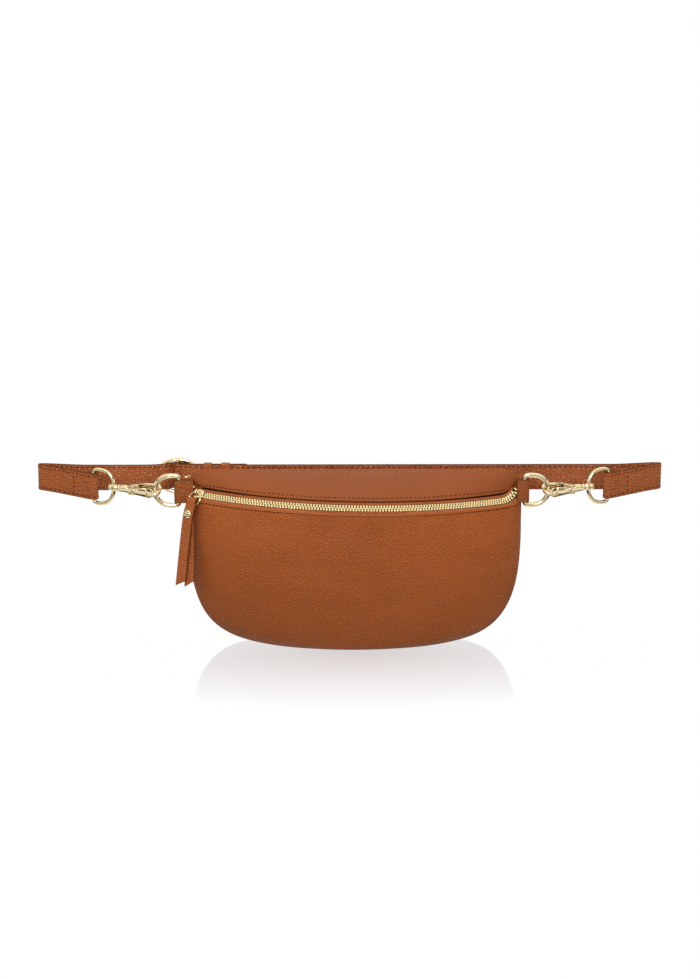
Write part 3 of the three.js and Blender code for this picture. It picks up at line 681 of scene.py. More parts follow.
def top_back_point(u):
    """A point of the top panel's back edge, from -1 at its left end to 1 at its right end."""
    reach = abs(u) / CORNER_START
    x, z = corner_point(max(0.0, (abs(u) - CORNER_START) / (1 - CORNER_START)) * CORNER_REACH)
    return Vector((math.copysign(x * min(1.0, reach), u), SEAM_Y, z))


def top_grid():
    r, h = band_section(-7.0, 3.8)
    grid = []
    for i in range(TOP_ROWS + 1):
        share = (i / TOP_ROWS) ** 1.15
        line = []
        for j in range(TOP_COLUMNS + 1):
            u = 2 * j / TOP_COLUMNS - 1
            point = zip_point(TOP_REACH * u, r, h).lerp(top_back_point(u), share)
            line.append(point + UP * (TOP_CROWN * 4 * share * (1 - share) * (1 - abs(u) ** 4)))
        grid.append(line)
    front = grid[0]
    back = grid[-1]
    for row, normals in zip(grid, sheet_normals(grid)):
        for j, point in enumerate(row):
            from_front = (point - front[j]).length
            from_back = (back[j] - point).length
            quiet = smooth_step(from_front, 6, 16) * smooth_step(from_back, 5, 14)
            groove = 0.4 * hump(from_front, TOP_SEAM_INSET, 0.9) + 0.3 * hump(from_back, TOP_SEAM_INSET, 0.9)
            fold = 0.7 * noise.noise(Vector((point.x / 60, point.y / 30, 3)))
            row[j] = point + normals[j] * (fold * quiet - groove)
    return grid


def line_inside(grid, distance):
    """The line on a sheet at a distance from its first row, with the sheet's directions out."""
    normals = sheet_normals(grid)
    line = []
    outs = []
    for j in range(3, len(grid[0]) - 3):
        best = min(range(len(grid)), key=lambda i: abs((grid[i][j] - grid[0][j]).length - distance))
        line.append(grid[best][j])
        outs.append(normals[best][j])
    inner = [(a + b * 2 + c) / 4 for a, b, c in zip(line, line[1:], line[2:])]
    return [line[0], *inner, line[-1]], outs


def make_top():
    grid = top_grid()
    make_piece("top_panel_leather", soft_sheet(grid), "leather", top_painted_shade_leather, "top_panel")
    make_piece("top_front_stitches", stitches(*line_inside(grid, TOP_SEAM_INSET)), "leather", thread)


make_top()

BACK_MIDDLE_Z = 88.0
BACK_RIM_START = 0.93
BACK_RIM_DEPTH = 1.0
INNER_RIM_DEPTH = 0.9


def back_outline():
    side = []
    for i in range(46):
        z = (WIDEST_Z + 12) * (i / 45) ** 1.7
        side.append((half_width(z), z))
    side += [corner_point(math.pi / 2 * (1 - i / 18)) for i in range(1, 19)]
    return side + [(-x, z) for x, z in reversed(side)]


def back_panel_shape():
    """A flat panel with a rounded rim that swells a little beside its seam."""
    outer = [0.02, *(k / 22 for k in range(1, 21)), 0.945, 0.97, 0.985, 0.995, 1.0]
    inner = [1.0, 0.995, 0.97, 0.6, 0.02]
    rings = []
    for outside, share in [(True, share) for share in outer] + [(False, share) for share in inner]:
        edge = max(0.0, (share - BACK_RIM_START) / (1 - BACK_RIM_START))
        fall = 1 - math.sqrt(1 - edge * edge)
        swell = 0.3 * hump(share, 0.95, 0.03)
        ring = []
        for x, z in back_outline():
            point = Vector((x * share, 0, BACK_MIDDLE_Z + (z - BACK_MIDDLE_Z) * share))
            ripple = 0.22 * noise.noise(Vector((point.x / 40, 1, point.z / 30)))
            if outside:
                point.y = BACK_Y + (ripple + swell) * (1 - edge) - BACK_RIM_DEPTH * fall
            else:
                point.y = BACK_Y - LEATHER + INNER_RIM_DEPTH * fall
            ring.append(point)
        rings.append(ring)
    return skin(rings)


make_piece("back_panel_leather", back_panel_shape(), "leather", body_leather, "back_panel")

# ---- the zip ----
ZIP_LEFT = math.radians(-40.4)
ZIP_RIGHT = math.radians(38.6)
TOOTH_PITCH = 2.7
STOP_STEP = math.radians(0.35)
STRIP_STEPS = 150


def zip_frame(angle):
    """Origin and axes at the zip's centre line: along it, down its slope and out from it."""
    def spot(turn, s=0):
        return zip_point(turn, *band_section(s, 0))

    along = (spot(angle + 0.002) - spot(angle - 0.002)).normalized()
    down = spot(SLIDER_ANGLE, 1) - spot(SLIDER_ANGLE)
    down.rotate(Matrix.Rotation(angle - SLIDER_ANGLE, 3, "Z"))
    down = (down - along * down.dot(along)).normalized()
    matrix = Matrix((along, down, down.cross(along))).transposed().to_4x4()
    matrix.translation = spot(angle)
    return matrix


def tooth(side):
    """One moulded tooth: a foot clamped on the tape and a rounded head over the middle."""
    half = [(-1.0, 3.1), (-1.08, 1.7), (-0.8, 1.2), (-1.0, 0.4), (-0.6, -0.25)]
    outline = half + [(-x, y) for x, y in reversed(half)]
    return plate([(x, y * side) for x, y in outline], -1.05, 1.1, 3, 0.3)


def teeth(side):
    """One row of teeth; the rows are half a pitch apart."""
    shape = Shape()
    count = int(ZIP_RADIUS * (ZIP_RIGHT - ZIP_LEFT) / TOOTH_PITCH)
    for i in range(count):
        share = (i + (0.75 if side > 0 else 0.25)) / count
        shape.merge(tooth(side).moved(zip_frame(ZIP_LEFT + (ZIP_RIGHT - ZIP_LEFT) * share)))
    return shape


def zip_strip(section, start, end):
    """A strip along the zip, from one angle to another in degrees."""
    rings = []
    for i in range(STRIP_STEPS + 1):
        angle = math.radians(start + (end - start) * i / STRIP_STEPS)
        rings.append([zip_point(angle, r, h) for r, h in section])
    return skin(rings)


def band(s0, s1, n0, n1, radius):
    """Section of a flat strip from s0 to s1 down the zip's slope and from n0 to n1 out from it."""
    return [band_section((s0 + s1) / 2 + a, (n0 + n1) / 2 + b)
            for a, b in rounded_section(s1 - s0, n1 - n0, radius)]


def path_section(points, thickness):
    """Section of a thin strip that follows points in (r, h)."""
    points = [Vector(p) for p in points]
    half = [along_at(points, i).orthogonal().normalized() * (thickness / 2) for i in range(len(points))]
    left = [point + side for point, side in zip(points, half)]
    return left + [point - side for point, side in zip(points, half)][::-1]


LOWER_TAPE = [(244.6, -3.9), (243.6, -3.3), (242.9, -2.6), (242.2, -3.4), (242, -5), (241.9, -8),
              (241.9, -16)]


def slider_shape():
    """Slider with a tapering top plate, turned-down flanges, a sole and a bail."""
    edge = [(-6, -3.4), (-5.2, -4.4), (-1, -4.7), (4.4, -3.9), (6, -3.2)]
    shape = plate(edge + [(x, -y) for x, y in reversed(edge)], 1.5, 2.6)
    for side in (-1, 1):
        flange = [(-5, 3.5 * side), (-5, 4.5 * side), (4.4, 3.9 * side), (4.4, 3.0 * side)]
        shape.merge(plate(flange, 1.15, 1.9, 2, 0.2))
    shape.merge(plate([(-5.5, -2.8), (5.5, -2.6), (5.5, 2.6), (-5.5, 2.8)], -2.1, -1.4, 2, 0.25))
    bail = smooth_path([(0, -2.7, 2.3), (0, -2.7, 4.6), (0, -1.6, 6.8), (0, 0, 7.2), (0, 1.6, 6.8),
                        (0, 2.7, 4.6), (0, 2.7, 2.3)], 6)
    return shape.merge(tube(bail, 0.8, ACROSS, 12, False, 1.4)).moved(zip_frame(SLIDER_ANGLE))


make_piece("upper_teeth", teeth(-1), "zip_metal", zip_gold, "upper_zip_teeth")
make_piece("lower_teeth", teeth(1), "zip_metal", zip_gold, "lower_zip_teeth")
for name, section, start, end, slot, material, *nodes in (
        ("upper_tape", band(-9.5, -2.6, -0.5, 0.1, 0.2), -38, 38, "zip_tape", zip_cloth, "upper_zip_tape"),
        ("upper_facing", band(-8.6, -3.4, 0.2, 1.4, 0.5), -38, 38.4, "edge_leather", facing_leather,
         "upper_zip_facing"),
        # The gap strip is a near-black strip of painted shadow under the top panel's front edge.
        ("upper_gap", band(-7.8, -5.7, 1.2, 1.7, 0.2), -37, 37.6, "edge_leather", gap_leather),
        ("lower_facing", band(3.5, 7.9, -0.3, 1.0, 0.5), -38, 38.4, "edge_leather", facing_leather),
        ("lower_tape", path_section(LOWER_TAPE, 0.6), -38.5, 38.5, "zip_tape", zip_cloth,
         "lower_zip_tape")):
    make_piece(name, zip_strip(section, start, end), slot, material, *nodes)
make_piece("slider", slider_shape(), "zip_metal", gold, "zip_slider", body="slider")
for side, angle in (("left", ZIP_LEFT - STOP_STEP), ("right", ZIP_RIGHT + STOP_STEP)):
    clip = plate([(-0.8, -2.6), (0.8, -2.6), (0.8, 2.6), (-0.8, 2.6)], -1.1, 1.1)
    make_piece(f"{side}_stop", clip.moved(zip_frame(angle)), "zip_metal", zip_gold, f"{side}_zip_stop")

# ---- the zip pull ----
# It is drawn at the zip's front centre, as (across, -r, h), and turned to the slider.
PULL_MATRIX = (Matrix.Translation(ZIP_AXIS) @ Matrix.Rotation(ZIP_TILT, 4, "Y")
               @ Matrix.Rotation(SLIDER_ANGLE, 4, "Z"))
PULL_RING_RADIUS = 6.6
PULL_RING_WIRE = 0.9
RING_HANG = math.radians(28)
PIVOT_R, PIVOT_H = band_section(0, 5.2)
BOTTOM_R = PIVOT_R + 2 * PULL_RING_RADIUS * math.sin(RING_HANG)
BOTTOM_H = PIVOT_H - 2 * PULL_RING_RADIUS * math.cos(RING_HANG)
PULL_WIDTH = 11.5
PULL_THICKNESS = 1.5
PULL_LENGTH = 82.0
PULL_LEAN = math.radians(9)
PULL_SPLAY = math.radians(8)
PULL_STAND_OFF = 3.4
PULL_SLANT = -6.0
PULL_SLANT_STEPS = 9
FOLD_TOP = BOTTOM_H + 7.4
RIVET_H = FOLD_TOP - 15
LEG_END_H = FOLD_TOP - PULL_LENGTH + 3
LEG_OFFSET = PULL_THICKNESS / 2 + 0.15


def leg_r(h):
    """Radius of the plane between the pull's two legs, at a height."""
    return BOTTOM_R + PULL_STAND_OFF + (BOTTOM_H - h) * math.tan(PULL_LEAN)


def pull_ring_shape():
    centre = Vector((0, -(PIVOT_R + BOTTOM_R) / 2, (PIVOT_H + BOTTOM_H) / 2))
    hang = Vector((0, -math.sin(RING_HANG), -math.cos(RING_HANG)))
    line = [centre + ACROSS * a - hang * b for b, a in circle(56, PULL_RING_RADIUS)]
    return tube(line, PULL_RING_WIRE, ACROSS.cross(hang), 14).moved(PULL_MATRIX)


def leg_strip(points):
    """A strip of leather whose long section lies in (r, h); its last end is cut aslant."""
    line = resample(smooth_path(points, 8), 1.2)
    section = rounded_section(PULL_WIDTH, PULL_THICKNESS, 0.45, 3)
    rings = []
    for i, point in enumerate(line):
        along = along_at(line, i).normalized()
        near_end = max(0.0, 1 - (len(line) - 1 - i) / PULL_SLANT_STEPS)
        ring = []
        for a, b in section:
            spot = point + UP.cross(along) * b + along * (PULL_SLANT * (a / PULL_WIDTH) * near_end)
            ring.append(Vector((a, -spot.x, spot.y)))
        rings.append(ring)
    return mark_strap(skin(rings), section, 0, 0, 1)


def pull_strap_shape():
    """Two legs of one folded strip that hangs in the ring; the rear leg is splayed about the rivet."""
    def leg(h, out):
        return leg_r(h) + out, h

    fold = [
        leg(RIVET_H - 5, -LEG_OFFSET), leg(RIVET_H, -LEG_OFFSET), leg(BOTTOM_H - 2, -2.1),
        (BOTTOM_R - 2.6, BOTTOM_H + 2), (BOTTOM_R - 2.8, FOLD_TOP - 2.2),
        (BOTTOM_R - 0.4, FOLD_TOP - PULL_THICKNESS / 2), (BOTTOM_R + 1.5, FOLD_TOP - 1.8),
        (BOTTOM_R + 2.1, BOTTOM_H + 1), leg(RIVET_H, LEG_OFFSET),
        leg(FOLD_TOP - PULL_LENGTH / 2, LEG_OFFSET + 0.5), leg(LEG_END_H, LEG_OFFSET)]
    rear = [leg(RIVET_H + 2, -LEG_OFFSET), leg((RIVET_H + LEG_END_H) / 2, -LEG_OFFSET - 0.4),
            leg(LEG_END_H, -LEG_OFFSET)]
    pin = Matrix.Translation((0, -leg_r(RIVET_H), RIVET_H)) @ Matrix.Rotation(-PULL_LEAN, 4, "X")
    turn = pin @ Matrix.Rotation(-PULL_SPLAY, 4, "Y") @ pin.inverted()
    return leg_strip(fold).merge(leg_strip(rear).moved(turn)).moved(PULL_MATRIX)


def make_pull():
    def pull_piece(name, shape, node):
        make_piece(name, shape, "gold_metal", gold, node, body="zip_pull")

    pull_piece("pull_ring_wire", pull_ring_shape(), "pull_ring")
    make_piece("pull_leather", pull_strap_shape(), "leather", [strap_leather, edge_leather], "pull_strap",
               body="zip_pull")
    place = (PULL_MATRIX @ Matrix.Translation((0, -leg_r(RIVET_H), RIVET_H))
             @ Matrix.Rotation(math.pi / 2 - PULL_LEAN, 4, "X"))
    cap = lathe([(0.01, 2.0), (3.2, 2.0), (3.95, 2.15), (4.1, 2.5), (3.9, 2.95), (3.3, 3.5), (2.4, 3.95),
                 (1.2, 4.2), (0.01, 4.25)], 40)
    post = lathe([(0.01, -3.2), (2.6, -3.2), (3.0, -2.9), (3.0, -2.5), (2.6, -2.3), (1.5, -2.2), (1.5, 1.6),
                  (0.01, 1.65)])
    pull_piece("rivet_cap", cap.moved(place), "pull_rivet_cap")
    pull_piece("rivet_post", post.moved(place), "pull_rivet_post")


make_pull()

# ---- side tabs and D-rings ----
D_RING_WIRE = 2.3
D_RING_HALF_HEIGHT = 14.2
TAB_WIDTH = 21.5
TAB_THICKNESS = 1.8
TAB_Z = 144.8
TAB_INNER_X = {"left": 149, "right": 155}
# Half of a D, as shares of its width and of its half height, from the middle of its straight bar.
D_BOW = [(0, 0), (0, 0.79), (0.05, 0.94), (0.3, 1), (0.66, 0.88), (0.9, 0.52), (1, 0)]


def d_line(width, half_height):
    bow = D_BOW + [(x, -z) for x, z in D_BOW[-2:0:-1]]
    flat = smooth_path([(x * width, z * half_height) for x, z in bow], 9, True)
    return [Vector((p.x, 0, p.y)) for p in flat]


def d_ring_shape():
    centre = Vector((D_RING_BAR_X, RING_PLANE_Y, RING_Z))
    line = [centre + p for p in d_line(D_RING_REACH, D_RING_HALF_HEIGHT)]
    return tube(line, D_RING_WIRE, BACKWARD, 20)


def tab_shape(inner):
    """A tab folded round the D-ring's bar, with its ends at inner."""
    bend = D_RING_WIRE + GAP + 0.8
    line = [(inner, -bend + 1.4), (inner + 4, -bend + 0.2), *arc((D_RING_BAR_X, 0), bend, -90, 90, 10),
            (inner + 4, bend - 0.2), (inner, bend - 1.0)]
    line = [p + BACKWARD * RING_PLANE_Y for p in smooth_path(line, 4)]
    return plan_sweep(line, rounded_section(TAB_WIDTH, TAB_THICKNESS, 0.6), TAB_Z, edge=1)[0]


# ---- swivel trigger hooks ----
# A hook is drawn along +X from its nose, and turned to its place on the right of the bag.
HOOK_MATRIX = Matrix.Translation((HOOK_X, RING_PLANE_Y, RING_Z)) @ Matrix.Rotation(HOOK_TURN, 4, "Z")
HOOK_CANT = 0.55
GATE_PIN = Vector((21.5, -6.0, 0))
# Stands a plate up on the hook's open side, on the gate pin's line.
FACE_PLACE = Matrix(((1, 0, 0, 0), (0, 0, 1, GATE_PIN.y), (0, 1, 0, 0), (0, 0, 0, 1)))
COIL_TURNS = 3
COIL_RADIUS = 1.3


def turned(profile, place, axis="Y", sides=32):
    """A lathed piece that starts at a place in the hook and points along +X, or along -Y."""
    return lathe(profile, sides).moved(Matrix.Translation(place) @ Matrix.Rotation(math.pi / 2, 4, axis))


def hook_shape():
    """Hook with a tapering back arm, a round nose, a block with lugs, and a ribbed barrel."""
    outline = [(18, 6.6), *arc((0.8, 0), 7.2, 90, 270, 16), (5.2, -7.2), (5.2, -5.9), (3.6, -4.6),
               *arc((1.2, 0), 4.6, 270, 90, 14), (18, 4.6)]
    shape = plate(outline, -1.5, 1.8, 4, 0.9)
    shape.verts = [v + UP * (HOOK_CANT * v.y) for v in shape.verts]
    block = [(17, -2.0), (21, -4.3), (25.5, -4.3), (25.9, -3.4), (25.9, 4.6), (25, 5.6), (22.5, 6.6),
             (17, 6.6)]
    shape.merge(plate(block, -2.6, 4.2, 4, 0.9))
    tip = [(0.6, -4.6), (1.6, -5.9), (5.2, -5.9), (5.2, 2.9), (1.6, 2.9), (0.6, 1.6)]
    shape.merge(plate(tip, -1.1, 1.2).moved(FACE_PLACE))
    wedge = [(24, -2.7), (33.6, -1.7), (33.6, 1.5), (24, 2.1)]
    shape.merge(plate(wedge, -1.0, 1.2).moved(FACE_PLACE))
    shape.merge(plate([(22, -5.6), (33.4, -5.6), (33.4, 1.5), (22, 1.5)], -1.5, 1.4, 3, 0.6))
    lug = [(18.6, -7.2), (19.2, -7.5), (23.8, -7.5), (24.4, -7), (24.4, -4), (18.6, -4)]
    shape.merge(plate(lug, 2.9, 4.2, 3, 0.35))
    shape.merge(plate(lug, -4.2, -2.9, 3, 0.35))
    barrel = [(1.75, 0), (2.9, 0), (3.3, 0.5), (3.3, 1.9), (2.9, 2.3), (2.9, 2.7), (3.3, 3.1), (3.3, 7.6),
              (3.1, 8.6), (2.7, 9.6), (1.75, 9.6)]
    return shape.merge(turned(barrel, (25.0, 0, 0)))


def gate_shape():
    shape = plate([(5.4, -5.9), (24, -2.8), (24, 2.1), (5.4, 2.9)], -1.0, 1.2)
    shape.merge(plate([(6.0, -5.3), (13.4, -4.1), (13.4, 1.4), (6.0, 1.8)], -1.6, -0.9, 3, 0.3))
    knob = [(0.01, 0), (1.6, 0), (1.9, 0.4), (1.7, 0.9), (1.0, 1.2), (0.01, 1.25)]
    return shape.moved(FACE_PLACE).merge(turned(knob, (19.5, -6.6, 0), "X", 20))


def swivel_eye_shape():
    """D-shaped eye with a boss, a cap over its bow and a stud that turns in the hook's barrel."""
    line = [p + ACROSS * EYE_BAR_U for p in d_line(-20.9, 16.2)]
    shape = tube(line, 1.8, BACKWARD, 20)
    cap = [(0.01, 0), (2.3, 0.2), (2.9, 1.0), (2.9, 3.4), (2.1, 4.6), (0.01, 5)]
    boss = [(0.01, 0), (2.6, 0), (3.3, 0.6), (3.3, 2.2), (2.4, 2.8), (2.4, 3.6), (3.4, 4.4), (3.5, 6.4),
            (2.8, 7.4), (0.01, 7.6)]
    stud = [(0.01, 0), (1.4, 0.2), (1.4, 7.6), (0.01, 7.8)]
    shape.merge(turned(cap, (42.9, 0, 0), sides=28)).merge(turned(boss, (34.9, 0, 0)))
    return shape.merge(turned(stud, (28.0, 0, 0), sides=20))


def coil_shape():
    """A torsion spring of close turns round the gate's pin."""
    line = []
    for k, (x, y) in enumerate(circle(24, COIL_RADIUS) * COIL_TURNS):
        line.append(GATE_PIN + Vector((x, y, 1.7 + 0.7 * k / (24 * COIL_TURNS))))
    return tube(line, 0.18, UP, 8, False)


def pin_shape():
    half = [(0.01, 4.4), (0.9, 4.4), (1.0, 4.25), (0.6, 4.15)]
    pin = lathe([(r, -h) for r, h in half] + half[::-1], 20)
    return pin.moved(Matrix.Translation(GATE_PIN))


# The left side's pieces are mirrored from the right side's.
SIDES = (("left", MIRROR), ("right", Matrix()))
for side, way in SIDES:
    tab = tab_shape(TAB_INNER_X[side]).moved(way).moved(BELT_SHIFT)
    make_piece(f"{side}_d_ring_wire", d_ring_shape().moved(way), "gold_metal", gold, f"{side}_d_ring",
               body=f"{side}_ring")
    make_piece(f"{side}_tab_leather", tab, "leather", [tab_leather, edge_leather], f"{side}_tab")
for side, way in SIDES:
    for name, shape, body in (
            ("hook", hook_shape(), f"{side}_snap"), ("gate", gate_shape(), f"{side}_snap_gate"),
            ("swivel_eye", swivel_eye_shape(), "belt"), ("gate_spring", coil_shape(), f"{side}_snap"),
            ("gate_pin", pin_shape(), f"{side}_snap")):
        make_piece(f"{side}_{name}_metal", shape.moved(way @ HOOK_MATRIX), "gold_metal", gold,
                   f"{side}_{name}", body=body)

# ---- belt ----
EYE_BAR = HOOK_MATRIX @ Vector((EYE_BAR_U, 0, 0))
EYE_WIRE = 1.8
RUN_SLOPE = math.radians(26.5)
STRAP_STEP = 1.0
SEWN_LENGTH = 49.0
BACK_LIFT = 1.8
FOLD_LIFT = 3.4
BAR_RADIUS = 1.5
BAR_BEND = BAR_RADIUS + 0.4 + STRAP_THICKNESS / 2
TAIL_Y = RUN_Y + 2 * PLY
STITCH_INSET = 2.6


def beside_run(along, out):
    """A point in plan, measured from the hook's eye along a belt end and out from it."""
    return (EYE_BAR.x + along * math.cos(RUN_SLOPE) - out * math.sin(RUN_SLOPE),
            EYE_BAR.y + along * math.sin(RUN_SLOPE) + out * math.cos(RUN_SLOPE))


def strap_end():
    """The right belt end in plan, from its turned tail round the eye and out to the fold."""
    bend = EYE_WIRE + 2 * GAP + STRAP_THICKNESS / 2
    loop = points_round((0, 0), bend, (117, 144, 180, 216, 243))
    run = [(17, PLY / 2), (9, 1.6), (3.5, 2.9), *loop, (3.5, -2.9), (9, -1.6), (17, -PLY / 2), (34, -PLY / 2)]
    fold = [(-7, -8.4), (-1.6, -4.4), (-1.2, -1.2), (-6, 0), (-16, 0)]
    return [beside_run(*spot) for spot in run] + [(FOLD_X + x, RUN_Y + y) for x, y in fold]


def strap_line(points):
    """A strap's line, raised most of all at its fold and a little along the back."""
    line = resample(smooth_path(points, 16), STRAP_STEP)
    out = []
    for point, travelled in zip(line, distances(line)):
        lift = FOLD_LIFT * smooth_step(travelled, 30, 88)
        lift -= (FOLD_LIFT - BACK_LIFT) * smooth_step(travelled, 92, 140)
        out.append(point + UP * lift)
    return out


def long_line():
    """The long strap, which loops round the buckle's bar and is sewn back on itself."""
    run = [(FOLD_X - 60, RUN_Y), (100, RUN_Y), (0, RUN_Y), (-80, RUN_Y)]
    to_bar = [(40, 0), (22, 0), (12, 0.2), (6.5, 1.6)]
    loop = points_round((BUCKLE_X, BUCKLE_Y), BAR_BEND, (-70, -110, -150, -180, -210, -250, -290))
    back = [(6, PLY + 3.2), (10, PLY + 0.4), (14, PLY), (34, PLY)]
    to_bar, back = ([(BUCKLE_X + x, RUN_Y + y) for x, y in part] for part in (to_bar, back))
    return strap_line([*strap_end(), *run, *to_bar, *loop, *back])


def short_line():
    """The short strap, which passes over the buckle's bar and ends under the keepers."""
    to_buckle = [(-34, RUN_Y), (-24, RUN_Y + 0.8), (-17, RUN_Y + 3), (-12.6, TAIL_Y - 0.1),
                 (-8.5, TAIL_Y + 2.6)]
    over_bar = [(-4.6, BUCKLE_Y + 3.3), (0, BUCKLE_Y + BAR_BEND + PLY + 0.3), (4.6, BUCKLE_Y + 3.5)]
    tail = [(8.6, TAIL_Y + 2.8), (12.8, TAIL_Y + 0.1), (18, TAIL_Y), (66, TAIL_Y)]
    run = [(BUCKLE_X + x, y) for x, y in to_buckle + over_bar + tail]
    return strap_line([*((-x, y) for x, y in strap_end()), (-FOLD_X + 50, RUN_Y), *run])


def edge_stitches(line, outs):
    """The rows of stitches along both edges of one face of a strap."""
    shape = Shape()
    for edge in (-1, 1):
        height = RING_Z + edge * (STRAP_WIDTH / 2 - STITCH_INSET)
        row = [p + UP * height + o * (STRAP_THICKNESS / 2) for p, o in zip(line[:-1], outs)]
        shape.merge(stitches(row, outs[:-1], 5.0, 3.4, 0.4))
    return shape


def cross_stitches(point, out):
    """One row of stitches across a strap."""
    middle = point + out * (STRAP_THICKNESS / 2)
    row = [middle + UP * (RING_Z + (k / 20 - 0.5) * (STRAP_WIDTH - 5)) for k in range(21)]
    return stitches(row, [out] * len(row), radius=0.4)


def make_strap(name, line, grain_side):
    """grain_side is 1 where the sweep's out direction faces the strap's grain side, and else -1."""
    marks = (0, 1) if grain_side > 0 else (1, 0)
    section = rounded_section(STRAP_WIDTH, STRAP_THICKNESS, 0.75)
    shape, outs = plan_sweep(line, section, RING_Z, *marks, 2)
    make_piece(f"{name}_leather", shape, "strap_leather",
               [strap_leather, inner_strap_painted_light_leather, edge_leather], name, body="belt")
    sewn = round(SEWN_LENGTH / STRAP_STEP)
    for side in (-1, 1):
        face_outs = [out * side for out in outs]
        rows = edge_stitches(line, face_outs)
        if side == grain_side:
            rows.merge(cross_stitches(line[sewn], face_outs[sewn]))
        face = "grain" if side == grain_side else "lining"
        make_piece(f"{name}_leather_stitches_{face}", rows, "strap_leather", thread, body="belt")


make_strap("strap_long", long_line(), 1)
make_strap("strap_short", short_line(), -1)

# ---- buckle and keepers ----
BUCKLE = Vector((BUCKLE_X, BUCKLE_Y, RING_Z + BACK_LIFT))
BUCKLE_SQUARENESS = 0.85
BUCKLE_WIRE = 1.9
BOSS_Z = 14.4
PRONG_EYE = 2.75
PRONG_WIRE = 0.95
PRONG_SHAFT_WIRE = 0.98
PRONG_STAND_OFF = 3.25
KEEPER_SECTION = rounded_section(8.0, 1.1, 0.5, 3)
KEEPER_GAP = 0.4
FIXED_KEEPER_X = BUCKLE_X + 29
SLIDING_KEEPER_X = BUCKLE_X + 46


def buckle_shape():
    """A rounded ring with a centre bar and a boss at each end of the bar."""
    line = []
    for ring_point in circle(72):
        across, up = (math.copysign(abs(share) ** BUCKLE_SQUARENESS, share) for share in ring_point)
        line.append(BUCKLE + Vector((BUCKLE_HALF_WIDTH * across, 0, BUCKLE_HALF_HEIGHT * up)))
    shape = tube(line, BUCKLE_WIRE, BACKWARD, 20)
    bar = [(0.01, -15.8), (BAR_RADIUS, -15.6), (BAR_RADIUS, 15.6), (0.01, 15.8)]
    boss = [(0.01, -2.6), (2.3, -2.4), (2.7, -1.6), (2.7, 1.6), (2.3, 2.4), (0.01, 2.6)]
    for profile, height in ((bar, 0), (boss, -BOSS_Z), (boss, BOSS_Z)):
        shape.merge(lathe(profile, 24).moved(Matrix.Translation(BUCKLE + UP * height)))
    return shape


def prong_shape():
    """An eye round the buckle's bar, and a shaft that thins towards its tip."""
    shape = tube([BUCKLE + Vector((*spot, 0)) for spot in circle(40, PRONG_EYE)], PRONG_WIRE, UP, 14)
    shaft = []
    for k in range(44):
        x = k / 2
        shaft.append(BUCKLE + Vector((-x, PRONG_STAND_OFF + 0.25 * math.sin(x / 7), 0)))

    def girth(share):
        return PRONG_SHAFT_WIRE * (1 - 0.45 * max(0.0, share - 0.7) / 0.3)

    return shape.merge(tube(shaft, girth, UP, 14, False))


def keeper_shape(x):
    """A leather band round all the plies of the belt."""
    low = RUN_Y - STRAP_THICKNESS / 2 - KEEPER_GAP
    high = TAIL_Y + STRAP_THICKNESS / 2 + KEEPER_GAP
    outline = rounded_section(STRAP_WIDTH + 2 * KEEPER_GAP, high - low + 1.4, 1.1, 6)
    line = [Vector((x, (low + high) / 2 + b, RING_Z + BACK_LIFT + a)) for a, b in outline]
    rings = []
    for i, point in enumerate(line):
        out = along_at(line, i, True).normalized().cross(ACROSS)
        rings.append([point + ACROSS * a + out * b for a, b in KEEPER_SECTION])
    return skin(rings, True)


make_piece("buckle_ring", buckle_shape(), "gold_metal", gold, "buckle_frame", body="belt")
make_piece("prong_wire", prong_shape(), "gold_metal", gold, "buckle_prong", body="prong")
for name, x, body in (
        ("fixed_keeper", FIXED_KEEPER_X, "belt"), ("sliding_keeper", SLIDING_KEEPER_X, "loose_keeper")):
    make_piece(f"{name}_leather", keeper_shape(x), "leather", strap_leather, name, body=body)

# ---- CAD nodes that stay, with their finish ----
for node in ("front_lining", "back_lining", "slip_pocket"):
    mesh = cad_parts[node].data
    mesh.materials.clear()
    mesh.materials.append(lining_cloth)

# ---- stage, in metres ----
FLOOR_HALF_SIZE = 150.0
FLOOR_Z = -0.0004
MIRROR_SHARE = 0.38
MIRROR_REACH = 0.17
MIRROR_STRETCH = (0.45, 1, 1)
MIRROR_SHIFT = (0, 0.03, 0)


def make_stage():
    """A white table that mirrors only what stands close above it."""
    n = Surface("floor")
    white = n.add("Emission", {"Color": (1, 1, 1, 1), "Strength": 1.0}).outputs[0]
    mirror = n.add("BsdfGlossy", {"Color": (1, 1, 1, 1), "Roughness": 0.06}).outputs[0]
    centred = n.add("VectorMath", {0: n.place(MIRROR_STRETCH), 1: MIRROR_SHIFT}, operation="ADD")
    away = n.add("VectorMath", {0: centred.outputs["Vector"]}, operation="LENGTH").outputs["Value"]
    fade = n.spread(away, MIRROR_SHARE, 0.0, 0.0, MIRROR_REACH)
    blend = n.add("MixShader", {"Fac": fade, 1: white, 2: mirror}).outputs[0]
    n.fill(n.tree.nodes["Material Output"], {"Surface": blend})
    mesh = bpy.data.meshes.new("floor")
    corners = [(-1, -1), (1, -1), (1, 1), (-1, 1)]
    mesh.from_pydata([(x * FLOOR_HALF_SIZE, y * FLOOR_HALF_SIZE, FLOOR_Z) for x, y in corners], [],
                     [(0, 1, 2, 3)])
    mesh.materials.append(n.material)
    floor = bpy.data.objects.new("floor", mesh)
    floor.visible_diffuse = False
    floor.visible_glossy = False
    bpy.context.scene.collection.objects.link(floor)


def warm(*stops):
    """Stops of a faintly warm white, each given as its place and its level."""
    return [(place, shade((1, 0.97, 0.92), level)) for place, level in stops]


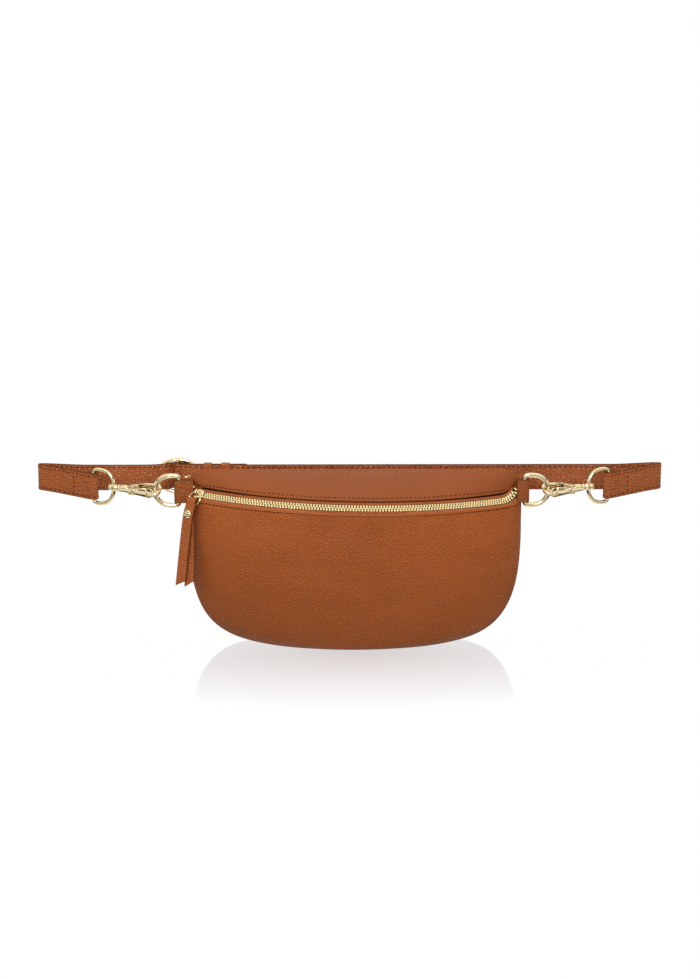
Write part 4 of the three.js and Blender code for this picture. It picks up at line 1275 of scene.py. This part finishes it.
def make_world():
    """White walls and ceiling over a dim floor, with dark bands that only polished pieces mirror."""
    world = bpy.data.worlds.new("studio")
    world.use_nodes = True
    n = Nodes(world.node_tree)
    view = n.add("SeparateXYZ", {0: n.add("TexCoord").outputs["Generated"]})
    height = n.spread(view.outputs["Z"], 0.0, 1.0, -1.0, 1.0)
    soft = n.ramp(height, *warm((0.5, 0.3), (0.53, 1.0)))
    bands = n.ramp(height, *warm(
        (0.0, 0.9), (0.18, 0.9), (0.22, 0.07), (0.33, 0.05), (0.37, 0.9), (0.45, 0.9), (0.48, 0.05),
        (0.545, 0.04), (0.565, 1.0), (0.67, 1.0), (0.69, 0.05), (0.75, 0.04), (0.775, 1.0), (1.0, 1.0)))
    path = n.add("LightPath").outputs
    mirrored = n.mix(path["Is Glossy Ray"], soft, bands)
    n.fill(n.tree.nodes["Background"], {"Color": n.mix(path["Is Camera Ray"], mirrored, (1, 1, 1, 1))})
    bpy.context.scene.world = world


KEY_PLACE = Vector((-0.12, -1.7, 0.95))
KEY_TARGET = Vector((0, 0, 0.09))
KEY_WIDTH = 0.6
KEY_HEIGHT = 0.5
KEY_WATTS = 12.5


def make_key_light():
    data = bpy.data.lights.new("key", "AREA")
    data.shape = "RECTANGLE"
    data.size = KEY_WIDTH
    data.size_y = KEY_HEIGHT
    data.energy = KEY_WATTS
    light = bpy.data.objects.new("key", data)
    light.location = KEY_PLACE
    light.rotation_euler = (KEY_TARGET - KEY_PLACE).to_track_quat("-Z", "Y").to_euler()
    bpy.context.scene.collection.objects.link(light)


CAMERA_AZIMUTH = math.radians(-1.5)
CAMERA_ROLL = math.radians(0.2)
CAMERA_ELEVATION = math.radians(12)
CAMERA_DISTANCE = 2.04
CAMERA_LENS = 80
AIM = Vector((-0.0050, RING_PLANE_Y * MM, 0.146))


def make_camera():
    data = bpy.data.cameras.new("camera")
    data.lens = CAMERA_LENS
    camera = bpy.data.objects.new("camera", data)
    camera.location = AIM + CAMERA_DISTANCE * Vector((
        math.sin(CAMERA_AZIMUTH) * math.cos(CAMERA_ELEVATION),
        -math.cos(CAMERA_AZIMUTH) * math.cos(CAMERA_ELEVATION), math.sin(CAMERA_ELEVATION)))
    look = (AIM - camera.location).to_track_quat("-Z", "Y").to_matrix()
    camera.rotation_euler = (look @ Matrix.Rotation(CAMERA_ROLL, 3, "Z")).to_euler()
    bpy.context.scene.collection.objects.link(camera)
    bpy.context.scene.camera = camera


make_stage()
make_world()
make_key_light()
make_camera()
bpy.context.scene.view_settings.view_transform = "Standard"
